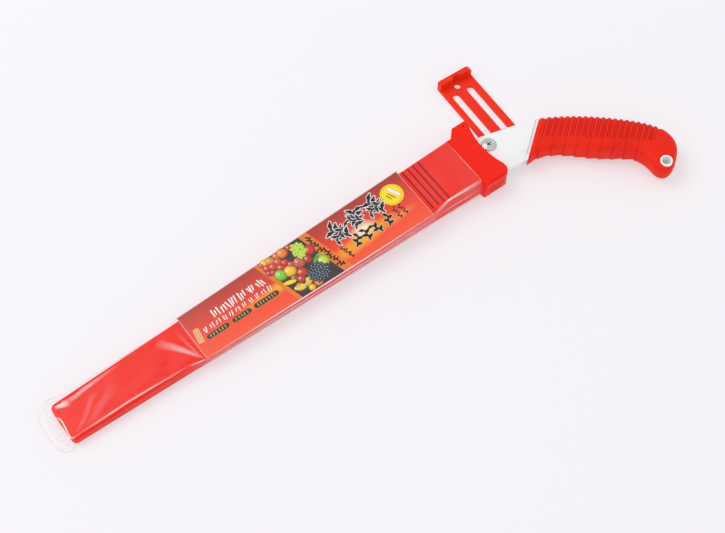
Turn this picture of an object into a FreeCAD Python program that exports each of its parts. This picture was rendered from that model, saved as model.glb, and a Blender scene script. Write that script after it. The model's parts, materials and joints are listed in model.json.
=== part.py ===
import FreeCAD, Part
import math
import os

import Sketcher
from FreeCAD import Placement, Rotation, Vector

# A fixed-blade pruning saw pushed home in its sheath, with a belt hanger that swivels on the sheath's
# back tongue.  Design frame: +X runs along the sheath from its closed tip to the handle, +Y is the side
# that the hanger points to, +Z is up from the back of the sheath.  X = 0 is where the two moulded shells
# of the sheath end and the collar begins.  At the end everything is moved so that the origin is the
# centre of the underside of the whole.

doc = FreeCAD.newDocument("PruningSaw")

# ------------------------------------------------------------------ driving dimensions (mm, degrees)
SIZES = {
    # sheath shells
    "shell_length": 357.0,
    "tip_half_width": 16.4,
    "mouth_half_width": 22.2,
    "shell_bottom": 0.3,
    "tip_top": 8.0,
    "mouth_top": 19.6,
    "shell_wall": 1.9,
    "tip_corner_radius": 4.0,
    "edge_radius": 1.4,
    "tip_scoop_depth": 2.4,
    "groove_count": 4,
    "groove_pitch": 5.0,
    "groove_first": 28.6,
    "groove_width": 2.3,
    "groove_depth": 0.9,
    "groove_reach": 18.8,
    # collar at the mouth
    "collar_height": 20.0,
    "spigot_length": 8.0,
    "spigot_gap": 0.15,
    "flare_start": 4.5,
    "horn_start": 10.8,
    "horn_y": 29.3,
    "mouth_x": 23.8,
    "mouth_middle_x": 19.6,
    "heel_x": 23.4,
    "heel_y": 28.4,
    "heel_foot_y": 26.2,
    "heel_rounding": 6.5,
    "horn_rounding": 2.0,
    "collar_rounding": 1.4,
    "foot_top": 15.2,
    "slot_low": 5.4,
    "slot_high": 15.4,
    "slot_floor_side": 23.4,
    "slot_spine_side": 18.2,
    "slot_depth_x": 9.0,
    "passage_half_width": 18.5,
    "tongue_bottom": 3.2,
    "tongue_top": 5.1,
    "tongue_half_width": 13.0,
    # hanger and its pivot
    "pivot_x": 45.8,
    "hanger_rest_angle": -2.2,
    "hanger_half_width": 15.1,
    "hanger_thickness": 2.6,
    "hanger_reach": 74.8,
    "lip_thickness": 4.2,
    "lip_height": 10.5,
    "lip_chamfer": 2.6,
    "lip_corner_chamfer": 0.9,
    "lip_notch_radius": 3.6,
    "belt_slot_width": 6.2,
    "belt_slot_left": -7.6,
    "belt_slot_right": 6.2,
    "belt_slot_start": 11.5,
    "belt_slot_end": 62.0,
    "hang_hole_radius": 2.7,
    "hang_hole_x": -0.7,
    "hang_hole_y": 67.4,
    "rivet_radius": 2.5,
    "rivet_head_radius": 4.6,
    "rivet_head_height": 0.8,
    "pivot_clearance": 0.06,
    # card and film
    "card_start": 248.0,
    "card_end": 47.0,
    "card_half_start": 20.0,
    "card_half_end": 23.7,
    "card_thickness": 0.35,
    "film_overhang": 12.0,
    "film_wall": 0.22,
    "film_tip_half_width": 18.6,
    "film_mouth_half_width": 24.9,
    "film_lift": 0.7,
    # blade
    "blade_thickness": 1.3,
    "tooth_root_tip": 10.8,
    "tooth_root_heel": 14.4,
    "first_tooth": 8.0,
    "tooth_pitch": 4.6,
    "tooth_height": 2.9,
    "tooth_count": 68,
    "blade_tip": 327.0,
    # holder, bolt and pins
    "holder_half_thickness": 4.2,
    "holder_bevel_width": 8.0,
    "holder_bevel_drop": 1.7,
    "core_half_thickness": 5.5,
    "bolt_x": 26.8,
    "bolt_y": 2.7,
    "bolt_radius": 3.0,
    "bolt_head_radius": 6.0,
    "bolt_head_height": 1.7,
    "nut_across_flats": 10.0,
    "nut_height": 2.6,
    "pin_x": 50.0,
    "pin_y": -6.0,
    "pin_radius": 2.5,
    # grip
    "grip_angle": 42.0,
    "grip_x": 60.0,
    "grip_y": -14.0,
    "front_slant": 10.1,
    "grip_front": -1.5,
    "grip_half_thickness": 11.3,
    "grip_end_half_thickness": 6.6,
    "grip_edge_radius": 5.6,
    "core_low": -2.8,
    "core_high": 15.4,
    "core_end": 82.0,
    "ring_width": 1.8,
    "ring_rise": 0.9,
    "ring_wall": 1.2,
    "tube_u": 99.3,
    "tube_v": -14.6,
    "tube_radius": 4.7,
    "tube_bore": 3.5,
    "tube_half_length": 8.9,
}

sheet = doc.addObject("Spreadsheet::Sheet", "Sizes")
for row, (alias, value) in enumerate(SIZES.items(), start=1):
    sheet.set("A%d" % row, alias)
    sheet.set("B%d" % row, str(value))
    sheet.setAlias("B%d" % row, alias)
doc.recompute()


def size(expression):
    """Value of a plain number or of an expression that uses the sheet's aliases."""
    if isinstance(expression, str):
        return float(sheet.evalExpression(expression))
    return float(expression)


def bind(item, path, expression):
    """Bind a property to the sheet when it is an expression, or just set the number."""
    if isinstance(expression, str):
        item.setExpression(path, sheet_names(expression))
    else:
        item.setExpression(path, str(expression))


def sheet_names(expression):
    """Write every alias in an expression as Sizes.alias."""
    words = expression.replace("(", " ( ").replace(")", " ) ").split()
    return " ".join("Sizes." + word if word in SIZES else word for word in words)


# ------------------------------------------------------------------ derived places
MID_MOUTH = (size("shell_bottom") + size("mouth_top")) / 2
MID_TIP = (size("shell_bottom") + size("tip_top")) / 2
SLOPE = (MID_MOUTH - MID_TIP) / size("shell_length")
TILT = math.degrees(math.atan(SLOPE))
SAW_PLACE = Placement(Vector(0, 0, MID_MOUTH), Rotation(Vector(0, 1, 0), -TILT))
GRIP_IN_SAW = Placement(Vector(size("grip_x"), size("grip_y"), 0),
                        Rotation(Vector(0, 0, 1), -size("grip_angle")))
FAR = 200.0            # past everything
CUT_THROUGH = 120.0    # length of a cut that goes right through
SPARE = 2.0            # how far blanks and cutting tools reach past a face
TOUCH = 0.01           # closer than this counts as on the same line


def grip_to_saw(u, v):
    """A point of the grip's own plan, u along the grip and v towards its spine, in the saw's plan."""
    place = GRIP_IN_SAW.multVec(Vector(u, v, 0))
    return place.x, place.y


def front_u(v):
    """Where the grip's slanted front face meets the height v of its plan."""
    slant = math.radians(size("front_slant"))
    return (size("grip_front") + math.sin(slant) * v) / math.cos(slant)


# ------------------------------------------------------------------ building helpers
def new_body(label):
    body = doc.addObject("PartDesign::Body", label)
    body.Label = label
    return body


def plane_of(body, role):
    for feature in body.Origin.OriginFeatures:
        if feature.Role == role:
            return feature
    raise ValueError(role)


def new_sketch(body, name, role, offset=None):
    sketch = body.newObject("Sketcher::SketchObject", name)
    sketch.AttachmentSupport = (plane_of(body, role), [""])
    sketch.MapMode = "FlatFace"
    if offset is not None:
        bind(sketch, ".AttachmentOffset.Base.z", offset)
    return sketch


def pin_point(sketch, geometry, point, place):
    """Constrain a point of a sketch to a place given by two expressions or numbers."""
    for kind, value in zip(("DistanceX", "DistanceY"), place):
        index = sketch.addConstraint(
            Sketcher.Constraint(kind, -1, 1, geometry, point, size(value)))
        if isinstance(value, str):
            sketch.setExpression("Constraints[%d]" % index, sheet_names(value))


def add_polygon(sketch, corners):
    """Closed outline whose corners are expressions or numbers."""
    points = [Vector(size(x), size(y), 0) for x, y in corners]
    first = sketch.GeometryCount
    count = len(points)
    for index in range(count):
        sketch.addGeometry(Part.LineSegment(points[index], points[(index + 1) % count]), False)
    for index in range(count):
        following = first + (index + 1) % count
        sketch.addConstraint(Sketcher.Constraint("Coincident", first + index, 2, following, 1))
    for index in range(count):
        pin_point(sketch, first + index, 1, corners[index])


def add_rectangle(sketch, low, high):
    add_polygon(sketch, [(low[0], low[1]), (high[0], low[1]), (high[0], high[1]), (low[0], high[1])])


def add_circle(sketch, centre, radius):
    place = Vector(size(centre[0]), size(centre[1]), 0)
    index = sketch.addGeometry(Part.Circle(place, Vector(0, 0, 1), size(radius)), False)
    pin_point(sketch, index, 3, centre)
    limit = sketch.addConstraint(Sketcher.Constraint("Radius", index, size(radius)))
    if isinstance(radius, str):
        sketch.setExpression("Constraints[%d]" % limit, sheet_names(radius))


def pad(body, sketch, length, midplane=False, reverse=False):
    feature = body.newObject("PartDesign::Pad", "Pad")
    feature.Profile = sketch
    bind(feature, "Length", length)
    feature.Midplane = midplane
    feature.Reversed = reverse
    return feature


def pocket(body, sketch, length, midplane=False, reverse=False):
    """Pocket that has to remove material."""
    doc.recompute()
    before = body.Shape.Volume
    feature = body.newObject("PartDesign::Pocket", "Pocket")
    feature.Profile = sketch
    bind(feature, "Length", length)
    feature.Midplane = midplane
    feature.Reversed = reverse
    doc.recompute()
    if body.Shape.Volume > before - TOUCH:
        raise RuntimeError("%s: %s cuts nothing" % (body.Label, sketch.Label))
    return feature


def loft(body, kind, sections):
    feature = body.newObject(kind, "Loft")
    feature.Profile = sections[0]
    feature.Sections = sections[1:]
    feature.Ruled = True
    return feature


def revolve(body, profile):
    """Turn a half profile right round the vertical axis of its sketch."""
    feature = body.newObject("PartDesign::Revolution", "Turned")
    feature.Profile = profile
    feature.ReferenceAxis = (profile, ["V_Axis"])
    feature.Angle = 360


def edges_where(shape, test):
    """Names of the edges whose two ends and middle all pass a test."""
    names = []
    for index, edge in enumerate(shape.Edges, start=1):
        middle = edge.valueAt((edge.FirstParameter + edge.LastParameter) / 2)
        points = [vertex.Point for vertex in edge.Vertexes] + [middle]
        if all(test(point) for point in points):
            names.append("Edge%d" % index)
    return names


def dress(body, kind, test):
    """Fillet or chamfer on the edges of the body's last feature that pass a test."""
    doc.recompute()
    base = body.Tip
    names = edges_where(base.Shape, test)
    if not names:
        raise RuntimeError("%s: no edge for %s" % (body.Label, kind))
    feature = body.newObject("PartDesign::" + kind, kind)
    feature.Base = (base, names)
    return feature


def fillet(body, test, radius):
    feature = dress(body, "Fillet", test)
    bind(feature, "Radius", radius)
    doc.recompute()
    if "Invalid" in feature.State:
        raise RuntimeError("%s: %s fails" % (body.Label, feature.Name))


def cylinder(name, radius, height, base):
    shape = doc.addObject("Part::Cylinder", name)
    bind(shape, "Radius", radius)
    bind(shape, "Height", height)
    shape.Placement = Placement(Vector(*base), Rotation())
    return shape


def block(name, dimensions, base):
    shape = doc.addObject("Part::Box", name)
    for path, value in zip(("Length", "Width", "Height"), dimensions):
        bind(shape, path, value)
    shape.Placement = Placement(Vector(*base), Rotation())
    return shape


def cut(label, base, tool):
    shape = doc.addObject("Part::Cut", label)
    shape.Label = label
    shape.Base = base
    shape.Tool = tool
    return shape


# ------------------------------------------------------------------ sheath shells
MOUTH_MID = "( shell_bottom + mouth_top ) / 2"
TIP_MID = "( shell_bottom + tip_top ) / 2"
SHELL_END = size("shell_length")
TOP_SLOPE = (size("mouth_top") - size("tip_top")) / SHELL_END
PAST_PARTING = " %s 0.5"
BAND_PAST_TIP = 15.0
BAND_PAST_MOUTH = 5.0
SCREW_X = -4.0
SCREW_Y = 12.0


def shell_half_width(x):
    """Half of the sheath's outer width at a place along it."""
    return size("mouth_half_width") + x * (size("mouth_half_width") - size("tip_half_width")) / SHELL_END


def shell_top(x):
    """Height of the sheath's front face at a place along it."""
    return size("mouth_top") + x * TOP_SLOPE


def shell_section(body, name, x, half_width, low, high):
    sketch = new_sketch(body, name, "YZ_Plane", x)
    add_rectangle(sketch, ("-1 * " + half_width, low), (half_width, high))
    return sketch


def shell_middle(x):
    """Height of the sloping parting plane between the two shells."""
    return MID_MOUTH + x * SLOPE


def side_band(low, high):
    """Side-view outline between two sloping lines, from past the tip to past the mouth."""
    ends = (-SHELL_END - BAND_PAST_TIP, BAND_PAST_MOUTH)
    return [(ends[0], low(ends[0])), (ends[1], low(ends[1])), (ends[1], high(ends[1])),
            (ends[0], high(ends[0]))]


def shell_body(label, front):
    """One moulded half: a tapering tray, open along the sloping parting plane and at the mouth."""
    body = new_body(label)
    blank_plan = new_sketch(body, "Plan", "XY_Plane", "shell_bottom")
    add_polygon(blank_plan, [("-1 * shell_length", "-1 * tip_half_width"), (0, "-1 * mouth_half_width"),
                             (0, "mouth_half_width"), ("-1 * shell_length", "tip_half_width")])
    pad(body, blank_plan, "mouth_top + %.1f" % SPARE)
    fillet(body, lambda p: p.x < TOUCH - SHELL_END and abs(p.y) > size("tip_half_width") - TOUCH,
           "tip_corner_radius")
    waste = new_sketch(body, "Waste", "XZ_Plane")
    if front:
        add_polygon(waste, side_band(shell_top, lambda x: FAR))
        add_polygon(waste, side_band(lambda x: -SPARE, shell_middle))
    else:
        add_polygon(waste, side_band(shell_middle, lambda x: FAR))
    pocket(body, waste, CUT_THROUGH, midplane=True)
    face_height = shell_top if front else lambda x: size("shell_bottom")

    def face_rim(point):
        on_face = abs(point.z - face_height(point.x)) < TOUCH
        near_tip = point.x < size("tip_corner_radius") + 10 * TOUCH - SHELL_END
        return on_face and (near_tip or abs(point.y) > shell_half_width(point.x) - 2 * TOUCH)

    fillet(body, face_rim, "edge_radius")
    if front:
        heights = (TIP_MID + PAST_PARTING % "-", "tip_top - shell_wall", MOUTH_MID + PAST_PARTING % "-",
                   "mouth_top - shell_wall")
    else:
        heights = ("shell_bottom + shell_wall", TIP_MID + PAST_PARTING % "+", "shell_bottom + shell_wall",
                   MOUTH_MID + PAST_PARTING % "+")
    inner_start = "shell_wall + tip_scoop_depth - shell_length"
    inner = [shell_section(body, "InnerTip", inner_start, "( tip_half_width - shell_wall )", *heights[:2]),
             shell_section(body, "InnerMouth", TOUCH, "( mouth_half_width - shell_wall )", *heights[2:])]
    loft(body, "PartDesign::SubtractiveLoft", inner)
    doc.recompute()
    return body


front_shell = shell_body("sheath_front_shell", True)
scoop = new_sketch(front_shell, "TipScoop", "XY_Plane")
SCOOP_SIDES = (5.0, -15.0)
SCOOP_LINE = -SHELL_END - SPARE / 2
scoop_start = Vector(SCOOP_LINE, SCOOP_SIDES[0], 0)
scoop_end = Vector(SCOOP_LINE, SCOOP_SIDES[1], 0)
scoop_middle = Vector(-SHELL_END + size("tip_scoop_depth"), sum(SCOOP_SIDES) / 2, 0)
scoop.addGeometry(Part.Arc(scoop_start, scoop_middle, scoop_end), False)
scoop.addGeometry(Part.LineSegment(scoop_end, scoop_start), False)
pocket(front_shell, scoop, CUT_THROUGH, reverse=True)

# cross grooves near the mouth, open over the spine-side edge
GROOVE_FLOOR_SHARE = 0.55
GROOVE_TOP_REACH = 0.6
grooves = new_sketch(front_shell, "Grooves", "XZ_Plane", "groove_reach")
for number in range(int(size("groove_count"))):
    centre = -size("groove_first") - number * size("groove_pitch")
    top = size("groove_width") / 2
    bottom = top * GROOVE_FLOOR_SHARE
    surface = shell_top(centre)
    floor = surface - size("groove_depth")
    add_polygon(grooves, [(centre - bottom, floor), (centre + bottom, floor),
                          (centre + top, surface + GROOVE_TOP_REACH),
                          (centre - top, surface + GROOVE_TOP_REACH)])
pocket(front_shell, grooves, CUT_THROUGH)

back_shell = shell_body("sheath_back_shell", False)
SCREW_RADIUS = 1.3
SCREW_HEAD_RADIUS = 2.8
SCREW_HEAD_HEIGHT = 1.2
SCREW_LENGTH = 4.6
SCREW_SINK = 0.05
SHANK_CLEARANCE = 0.3
HEAD_CLEARANCE = 0.15
HEAD_RECESS_DEPTH = 1.3
SCREW_SIDES = (-SCREW_Y, SCREW_Y)
for name, radius, depth in (("ScrewHoles", SCREW_RADIUS + SHANK_CLEARANCE, "slot_low"),
                            ("HeadRecesses", SCREW_HEAD_RADIUS + HEAD_CLEARANCE, HEAD_RECESS_DEPTH)):
    shell_holes = new_sketch(back_shell, name, "XY_Plane", "shell_bottom")
    for y in SCREW_SIDES:
        add_circle(shell_holes, (SCREW_X, y), radius)
    pocket(back_shell, shell_holes, depth, reverse=True)

# ------------------------------------------------------------------ collar at the mouth
collar = new_body("mouth_collar")
collar_plan = new_sketch(collar, "Plan", "XY_Plane")
heel_side = -size("heel_y")
HORN_INNER = Vector(size("mouth_x"), 25.0, 0)
HEEL_INNER = Vector(size("heel_x"), -19.0, 0)
MOUTH_MIDDLE = Vector(size("mouth_middle_x"), 1.0, 0)
HEEL_START_X = 1.0
HEEL_START_INSET = 0.4
corners = [HEEL_INNER, Vector(size("heel_x"), heel_side, 0),
           Vector(HEEL_START_X, heel_side + HEEL_START_INSET, 0),
           Vector(0, -size("mouth_half_width"), 0), Vector(0, size("mouth_half_width"), 0),
           Vector(size("flare_start"), size("mouth_half_width"), 0),
           Vector(size("horn_start"), size("horn_y"), 0),
           Vector(size("mouth_x"), size("horn_y"), 0), HORN_INNER]
for start, end in zip(corners, corners[1:]):
    collar_plan.addGeometry(Part.LineSegment(start, end), False)
collar_plan.addGeometry(Part.Arc(HORN_INNER, MOUTH_MIDDLE, HEEL_INNER), False)
pad(collar, collar_plan, "collar_height")
CORNER_TOLERANCE = 0.6
SHELL_LEDGE = 0.3


def upright_at(x, y):
    """Test for the upright edges near a corner of the plan."""
    return lambda point: math.hypot(point.x - size(x), point.y - size(y)) < CORNER_TOLERANCE


fillet(collar, upright_at("heel_x", "-1 * heel_y"), "heel_rounding")
fillet(collar, upright_at("mouth_x", "horn_y"), "horn_rounding")
fillet(collar, upright_at("horn_start", "horn_y"), "horn_rounding")
fillet(collar, upright_at("flare_start", "mouth_half_width"), "horn_rounding")
fillet(collar, lambda p: p.z > size("collar_height") - TOUCH and p.x > -TOUCH
       and (p.x > SHELL_LEDGE or abs(p.y) > size("mouth_half_width") - TOUCH), "collar_rounding")
FOOT_WASTE = "-1 * heel_y - 5"
foot = new_sketch(collar, "HeelFoot", "YZ_Plane", -SPARE)
add_polygon(foot, [("-1 * heel_foot_y", -1), ("-1 * heel_y - 0.1", "foot_top"), (FOOT_WASTE, "foot_top"),
                   (FOOT_WASTE, -1)])
pocket(collar, foot, CUT_THROUGH, reverse=True)

spigot = new_sketch(collar, "Spigot", "YZ_Plane")
SPIGOT_SIDE = "mouth_half_width - shell_wall - 2 * spigot_gap"
add_rectangle(spigot, ("-1 * ( " + SPIGOT_SIDE + " )", "shell_bottom + shell_wall + spigot_gap"),
              (SPIGOT_SIDE, "mouth_top - shell_wall - 3 * spigot_gap"))
pad(collar, spigot, "spigot_length", reverse=True)
passage = new_sketch(collar, "Passage", "YZ_Plane", "-1 * spigot_length - %.1f" % SPARE)
add_rectangle(passage, ("-1 * passage_half_width", "slot_low"), ("passage_half_width", "slot_high"))
pocket(collar, passage, "spigot_length + slot_depth_x + %.1f" % (2 * SPARE), reverse=True)
mouth_slot = new_sketch(collar, "MouthSlot", "YZ_Plane", "slot_depth_x")
add_rectangle(mouth_slot, ("-1 * slot_floor_side", "slot_low"), ("slot_spine_side", "slot_high"))
pocket(collar, mouth_slot, CUT_THROUGH, reverse=True)

tongue = new_sketch(collar, "Tongue", "XY_Plane", "tongue_bottom")
TONGUE_ROOT_X = 17.0
TONGUE_SPREAD = 2.0
tongue_side = size("tongue_half_width")
root_side = tongue_side + TONGUE_SPREAD
pivot = size("pivot_x")
tongue_lines = [Vector(pivot, -tongue_side, 0), Vector(TONGUE_ROOT_X, -root_side, 0),
                Vector(TONGUE_ROOT_X, root_side, 0), Vector(pivot, tongue_side, 0)]
for start, end in zip(tongue_lines, tongue_lines[1:]):
    tongue.addGeometry(Part.LineSegment(start, end), False)
tongue.addGeometry(Part.Arc(tongue_lines[-1], Vector(pivot + tongue_side, 0, 0), tongue_lines[0]), False)
pad(collar, tongue, "tongue_top - tongue_bottom")
pivot_hole = new_sketch(collar, "PivotHole", "XY_Plane", "tongue_bottom - 1")
add_circle(pivot_hole, ("pivot_x", 0), "rivet_radius")
pocket(collar, pivot_hole, "tongue_top", reverse=True)
screw_holes = new_sketch(collar, "ScrewHoles", "XY_Plane", "shell_bottom")
for y in SCREW_SIDES:
    add_circle(screw_holes, (SCREW_X, y), SCREW_RADIUS)
pocket(collar, screw_holes, "slot_low", reverse=True)


def screw_pair():
    """Two flat-headed self-tapping screws, driven from the back of the sheath into the spigot."""
    parts = []
    head_base = size("shell_bottom") + SCREW_SINK
    for index, y in enumerate(SCREW_SIDES):
        place = (SCREW_X, y, head_base)
        head = cylinder("ScrewHead%d" % index, SCREW_HEAD_RADIUS, SCREW_HEAD_HEIGHT, place)
        shank = cylinder("ScrewShank%d" % index, SCREW_RADIUS, SCREW_LENGTH, place)
        screw = doc.addObject("Part::Fuse", "Screw%d" % index)
        screw.Base = head
        screw.Tool = shank
        parts.append(screw)
    group = doc.addObject("Part::Compound", "collar_screws")
    group.Links = parts
    return group


collar_screws = screw_pair()

# ------------------------------------------------------------------ guides and spring in the mouth
PAD_REACH = 6.0
PAD_GAP = 0.35
PAD_ROUNDING = 1.5


def guide_pad(label, low, high, blade_height):
    """Low-friction block that stops just short of the blade's side."""
    body = new_body(label)
    sketch = new_sketch(body, "Plan", "XY_Plane", low)
    add_rectangle(sketch, (-PAD_REACH, -PAD_REACH), (PAD_REACH, PAD_REACH))
    pad(body, sketch, high - low)
    fillet(body, lambda p: abs(p.z - blade_height) < TOUCH and abs(p.x) > PAD_REACH - TOUCH, PAD_ROUNDING)
    return body


blade_half = size("blade_thickness") / 2
pad_high = MID_MOUTH + PAD_REACH * SLOPE + blade_half + PAD_GAP
pad_low = MID_MOUTH - PAD_REACH * SLOPE - blade_half - PAD_GAP
guide_front = guide_pad("guide_pad_front", pad_high, size("slot_high"), pad_high)
guide_back = guide_pad("guide_pad_back", size("slot_low"), pad_low, pad_low)

spring = new_body("retaining_spring")
bow = new_sketch(spring, "Bow", "XY_Plane", "( slot_low + slot_high ) / 2")
SPRING_THICKNESS = 0.5
SPRING_BOW = 1.3
SPRING_WIDTH = 4.5
SPRING_WALL_GAP = 0.05
SPRING_INSETS = (0.8, 2.6)
spring_wall = size("slot_spine_side") - SPRING_WALL_GAP
spring_ends = (size("slot_depth_x") + SPRING_INSETS[0], size("mouth_x") - SPRING_INSETS[1])
for offset in (0, SPRING_THICKNESS):
    ends = [Vector(x, spring_wall - offset, 0) for x in spring_ends]
    middle = Vector(sum(spring_ends) / 2, spring_wall - SPRING_BOW + SPRING_THICKNESS - offset, 0)
    bow.addGeometry(Part.Arc(ends[0], middle, ends[1]), False)
for x in spring_ends:
    bow.addGeometry(Part.LineSegment(Vector(x, spring_wall, 0),
                                     Vector(x, spring_wall - SPRING_THICKNESS, 0)), False)
pad(spring, bow, SPRING_WIDTH, midplane=True)

# ------------------------------------------------------------------ hanger and its pivot
hanger = new_body("belt_hanger")
reach = size("hanger_reach")
half = size("hanger_half_width")
plate = new_sketch(hanger, "Plate", "XY_Plane")
plate_lines = [Vector(half, 0, 0), Vector(half, reach, 0), Vector(-half, reach, 0), Vector(-half, 0, 0)]
for start, end in zip(plate_lines, plate_lines[1:]):
    plate.addGeometry(Part.LineSegment(start, end), False)
plate.addGeometry(Part.Arc(plate_lines[-1], Vector(0, -half, 0), plate_lines[0]), False)
pad(hanger, plate, "hanger_thickness")
lip = new_sketch(hanger, "Lip", "XY_Plane")
add_rectangle(lip, ("-1 * hanger_half_width", "hanger_reach - lip_thickness"),
              ("hanger_half_width", "hanger_reach"))
pad(hanger, lip, "lip_height")
for end, chamfer in ((1, "lip_chamfer"), (-1, "lip_corner_chamfer")):
    lip_corner = dress(hanger, "Chamfer",
                       lambda p: p.z > size("lip_height") - TOUCH and end * p.x > half - TOUCH)
    bind(lip_corner, "Size", chamfer)
slots = new_sketch(hanger, "BeltSlots", "XY_Plane")
for middle in ("belt_slot_left", "belt_slot_right"):
    add_rectangle(slots, (middle + " - belt_slot_width / 2", "belt_slot_start"),
                  (middle + " + belt_slot_width / 2", "belt_slot_end"))
pocket(hanger, slots, CUT_THROUGH, reverse=True)
SLOT_SIDES = [size(middle) + edge * size("belt_slot_width") / 2
              for middle in ("belt_slot_left", "belt_slot_right") for edge in (-1, 1)]


def slot_corner(point):
    on_side = min(abs(point.x - x) for x in SLOT_SIDES) < TOUCH
    on_end = min(abs(point.y - size("belt_slot_start")), abs(point.y - size("belt_slot_end"))) < TOUCH
    return on_side and on_end


fillet(hanger, slot_corner, "belt_slot_width / 2 - 0.02")
notch = new_sketch(hanger, "LipNotch", "XY_Plane", "hanger_thickness")
add_circle(notch, (0, "hanger_reach - lip_thickness - 1"), "lip_notch_radius")
pocket(hanger, notch, CUT_THROUGH, reverse=True)
hanger_holes = new_sketch(hanger, "Holes", "XY_Plane")
add_circle(hanger_holes, ("hang_hole_x", "hang_hole_y"), "hang_hole_radius")
add_circle(hanger_holes, (0, 0), "rivet_radius + pivot_clearance")
pocket(hanger, hanger_holes, CUT_THROUGH, reverse=True)
COUNTERBORE_GAP = 0.4
HANGER_ROUNDING = 0.5
counterbore = new_sketch(hanger, "Counterbore", "XY_Plane")
add_circle(counterbore, (0, 0), "rivet_head_radius + %.1f" % COUNTERBORE_GAP)
pocket(hanger, counterbore, "shell_bottom + rivet_head_height + 0.1", reverse=True)


def hanger_rim(point):
    on_top = abs(point.z - size("hanger_thickness")) < TOUCH
    on_side = abs(point.x) > half - TOUCH and point.y < reach - size("lip_thickness") + TOUCH
    return on_top and (on_side or math.hypot(point.x, point.y) > half - TOUCH and point.y < TOUCH)


fillet(hanger, hanger_rim, HANGER_ROUNDING)
hanger.Placement = Placement(Vector(pivot, 0, 0), Rotation(Vector(0, 0, 1), size("hanger_rest_angle")))

rivet = new_body("hanger_pivot")
rivet_profile = new_sketch(rivet, "Profile", "XZ_Plane")
HEAD_TOP = "( shell_bottom + rivet_head_height )"
RIVET_TOP = "tongue_top + 0.7"
add_polygon(rivet_profile, [(0, "shell_bottom"), ("rivet_head_radius", "shell_bottom"),
                            ("rivet_head_radius", HEAD_TOP), ("rivet_radius", HEAD_TOP),
                            ("rivet_radius", "tongue_top"), ("rivet_head_radius - 0.3", "tongue_top"),
                            ("rivet_head_radius - 0.8", RIVET_TOP), (0, RIVET_TOP)])
revolve(rivet, rivet_profile)
rivet.Placement = Placement(Vector(pivot, 0, 0), Rotation())

WASHER_RADIUS = 7.0
WASHER_BASE = size("hanger_thickness") + 0.1
washer = cut("pivot_washer",
             cylinder("WasherDisc", WASHER_RADIUS, size("tongue_bottom") - WASHER_BASE,
                      (pivot, 0, WASHER_BASE)),
             cylinder("WasherHole", "rivet_radius", 2 * SPARE, (pivot, 0, WASHER_BASE - SPARE)))

# ------------------------------------------------------------------ card and film
card = new_body("label_card")
card_plan = new_sketch(card, "Plan", "XY_Plane")
add_polygon(card_plan, [("-1 * card_start", "-1 * card_half_start"), ("-1 * card_end", "-1 * card_half_end"),
                        ("-1 * card_end", "card_half_end"), ("-1 * card_start", "card_half_start")])
pad(card, card_plan, "card_thickness")
card.Placement = Placement(Vector(0, 0, size("mouth_top")),
                           Rotation(Vector(0, 1, 0), -math.degrees(math.atan(TOP_SLOPE))))

film = new_body("film_sleeve")
FILM_END = "-1 * shell_length - film_overhang"
FILM_TIP_TOP = "tip_top + film_lift - %.3f * film_overhang" % TOP_SLOPE
film_plan = new_sketch(film, "Plan", "XY_Plane")
add_polygon(film_plan, [(FILM_END, "-1 * film_tip_half_width"), (0, "-1 * film_mouth_half_width"),
                        (0, "film_mouth_half_width"), (FILM_END, "film_tip_half_width")])
pad(film, film_plan, "mouth_top + %.1f" % SPARE)
above = new_sketch(film, "Above", "XZ_Plane")
add_polygon(above, side_band(lambda x: shell_top(x) + size("film_lift"), lambda x: FAR))
pocket(film, above, CUT_THROUGH, midplane=True)
film_inner = [shell_section(film, "InnerTip", FILM_END + " + film_wall",
                            "( film_tip_half_width - film_wall )", "film_wall",
                            FILM_TIP_TOP + " - film_wall"),
              shell_section(film, "InnerMouth", TOUCH, "( film_mouth_half_width - film_wall )",
                            "film_wall", "mouth_top + film_lift - film_wall")]
loft(film, "PartDesign::SubtractiveLoft", film_inner)

# ------------------------------------------------------------------ blade
TANG = [(10.0, 12.6), (60.0, 0.4), (60.0, -8.0), (40.0, -16.0), (10.0, -16.0)]
TIP_X = -size("blade_tip")
TEETH_START = -size("first_tooth")
TEETH_END = TEETH_START - size("tooth_count") * size("tooth_pitch")


def root_y(x):
    """The line of the tooth gullets, which lies further out towards the heel."""
    share = (TEETH_START - x) / (TEETH_START - TEETH_END)
    return share * (size("tooth_root_heel") - size("tooth_root_tip")) - size("tooth_root_heel")


BOLT_HOLE = "bolt_radius + 0.1"
tooth_tip = size("tooth_height")
blade = new_body("saw_blade")
blade_plan = new_sketch(blade, "Plan", "XY_Plane")
add_polygon(blade_plan, TANG + [(TEETH_START + 3, root_y(TEETH_START) - tooth_tip),
                                (TEETH_END, root_y(TEETH_END) - tooth_tip),
                                (TIP_X, -8.0), (TIP_X, 2.0), (TIP_X + 9, 8.0)])
pad(blade, blade_plan, "blade_thickness", midplane=True)
gullet = new_sketch(blade, "Gullet", "XY_Plane")
TOOTH_POINT = 0.15
pitch = size("tooth_pitch")
gullet_half = pitch / 2 - TOOTH_POINT
start_x = TEETH_START - pitch / 2
gullet_y = root_y(start_x)
gullet_open_y = gullet_y - tooth_tip - 2 * TOOTH_POINT
add_polygon(gullet, [(start_x, gullet_y), (start_x + gullet_half, gullet_open_y),
                     (start_x - gullet_half, gullet_open_y)])
gullet.addGeometry(Part.LineSegment(Vector(start_x, gullet_y, 0),
                                    Vector(TEETH_END, root_y(TEETH_END), 0)), True)
first_gullet = pocket(blade, gullet, CUT_THROUGH, midplane=True)
teeth = blade.newObject("PartDesign::LinearPattern", "Teeth")
teeth.Originals = [first_gullet]
teeth.Direction = (gullet, ["Axis0"])
teeth.Length = (size("tooth_count") - 1) * pitch
teeth.Occurrences = int(size("tooth_count"))
blade.Tip = teeth
blade_holes = new_sketch(blade, "Holes", "XY_Plane")
add_circle(blade_holes, ("bolt_x", "bolt_y"), BOLT_HOLE)
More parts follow.
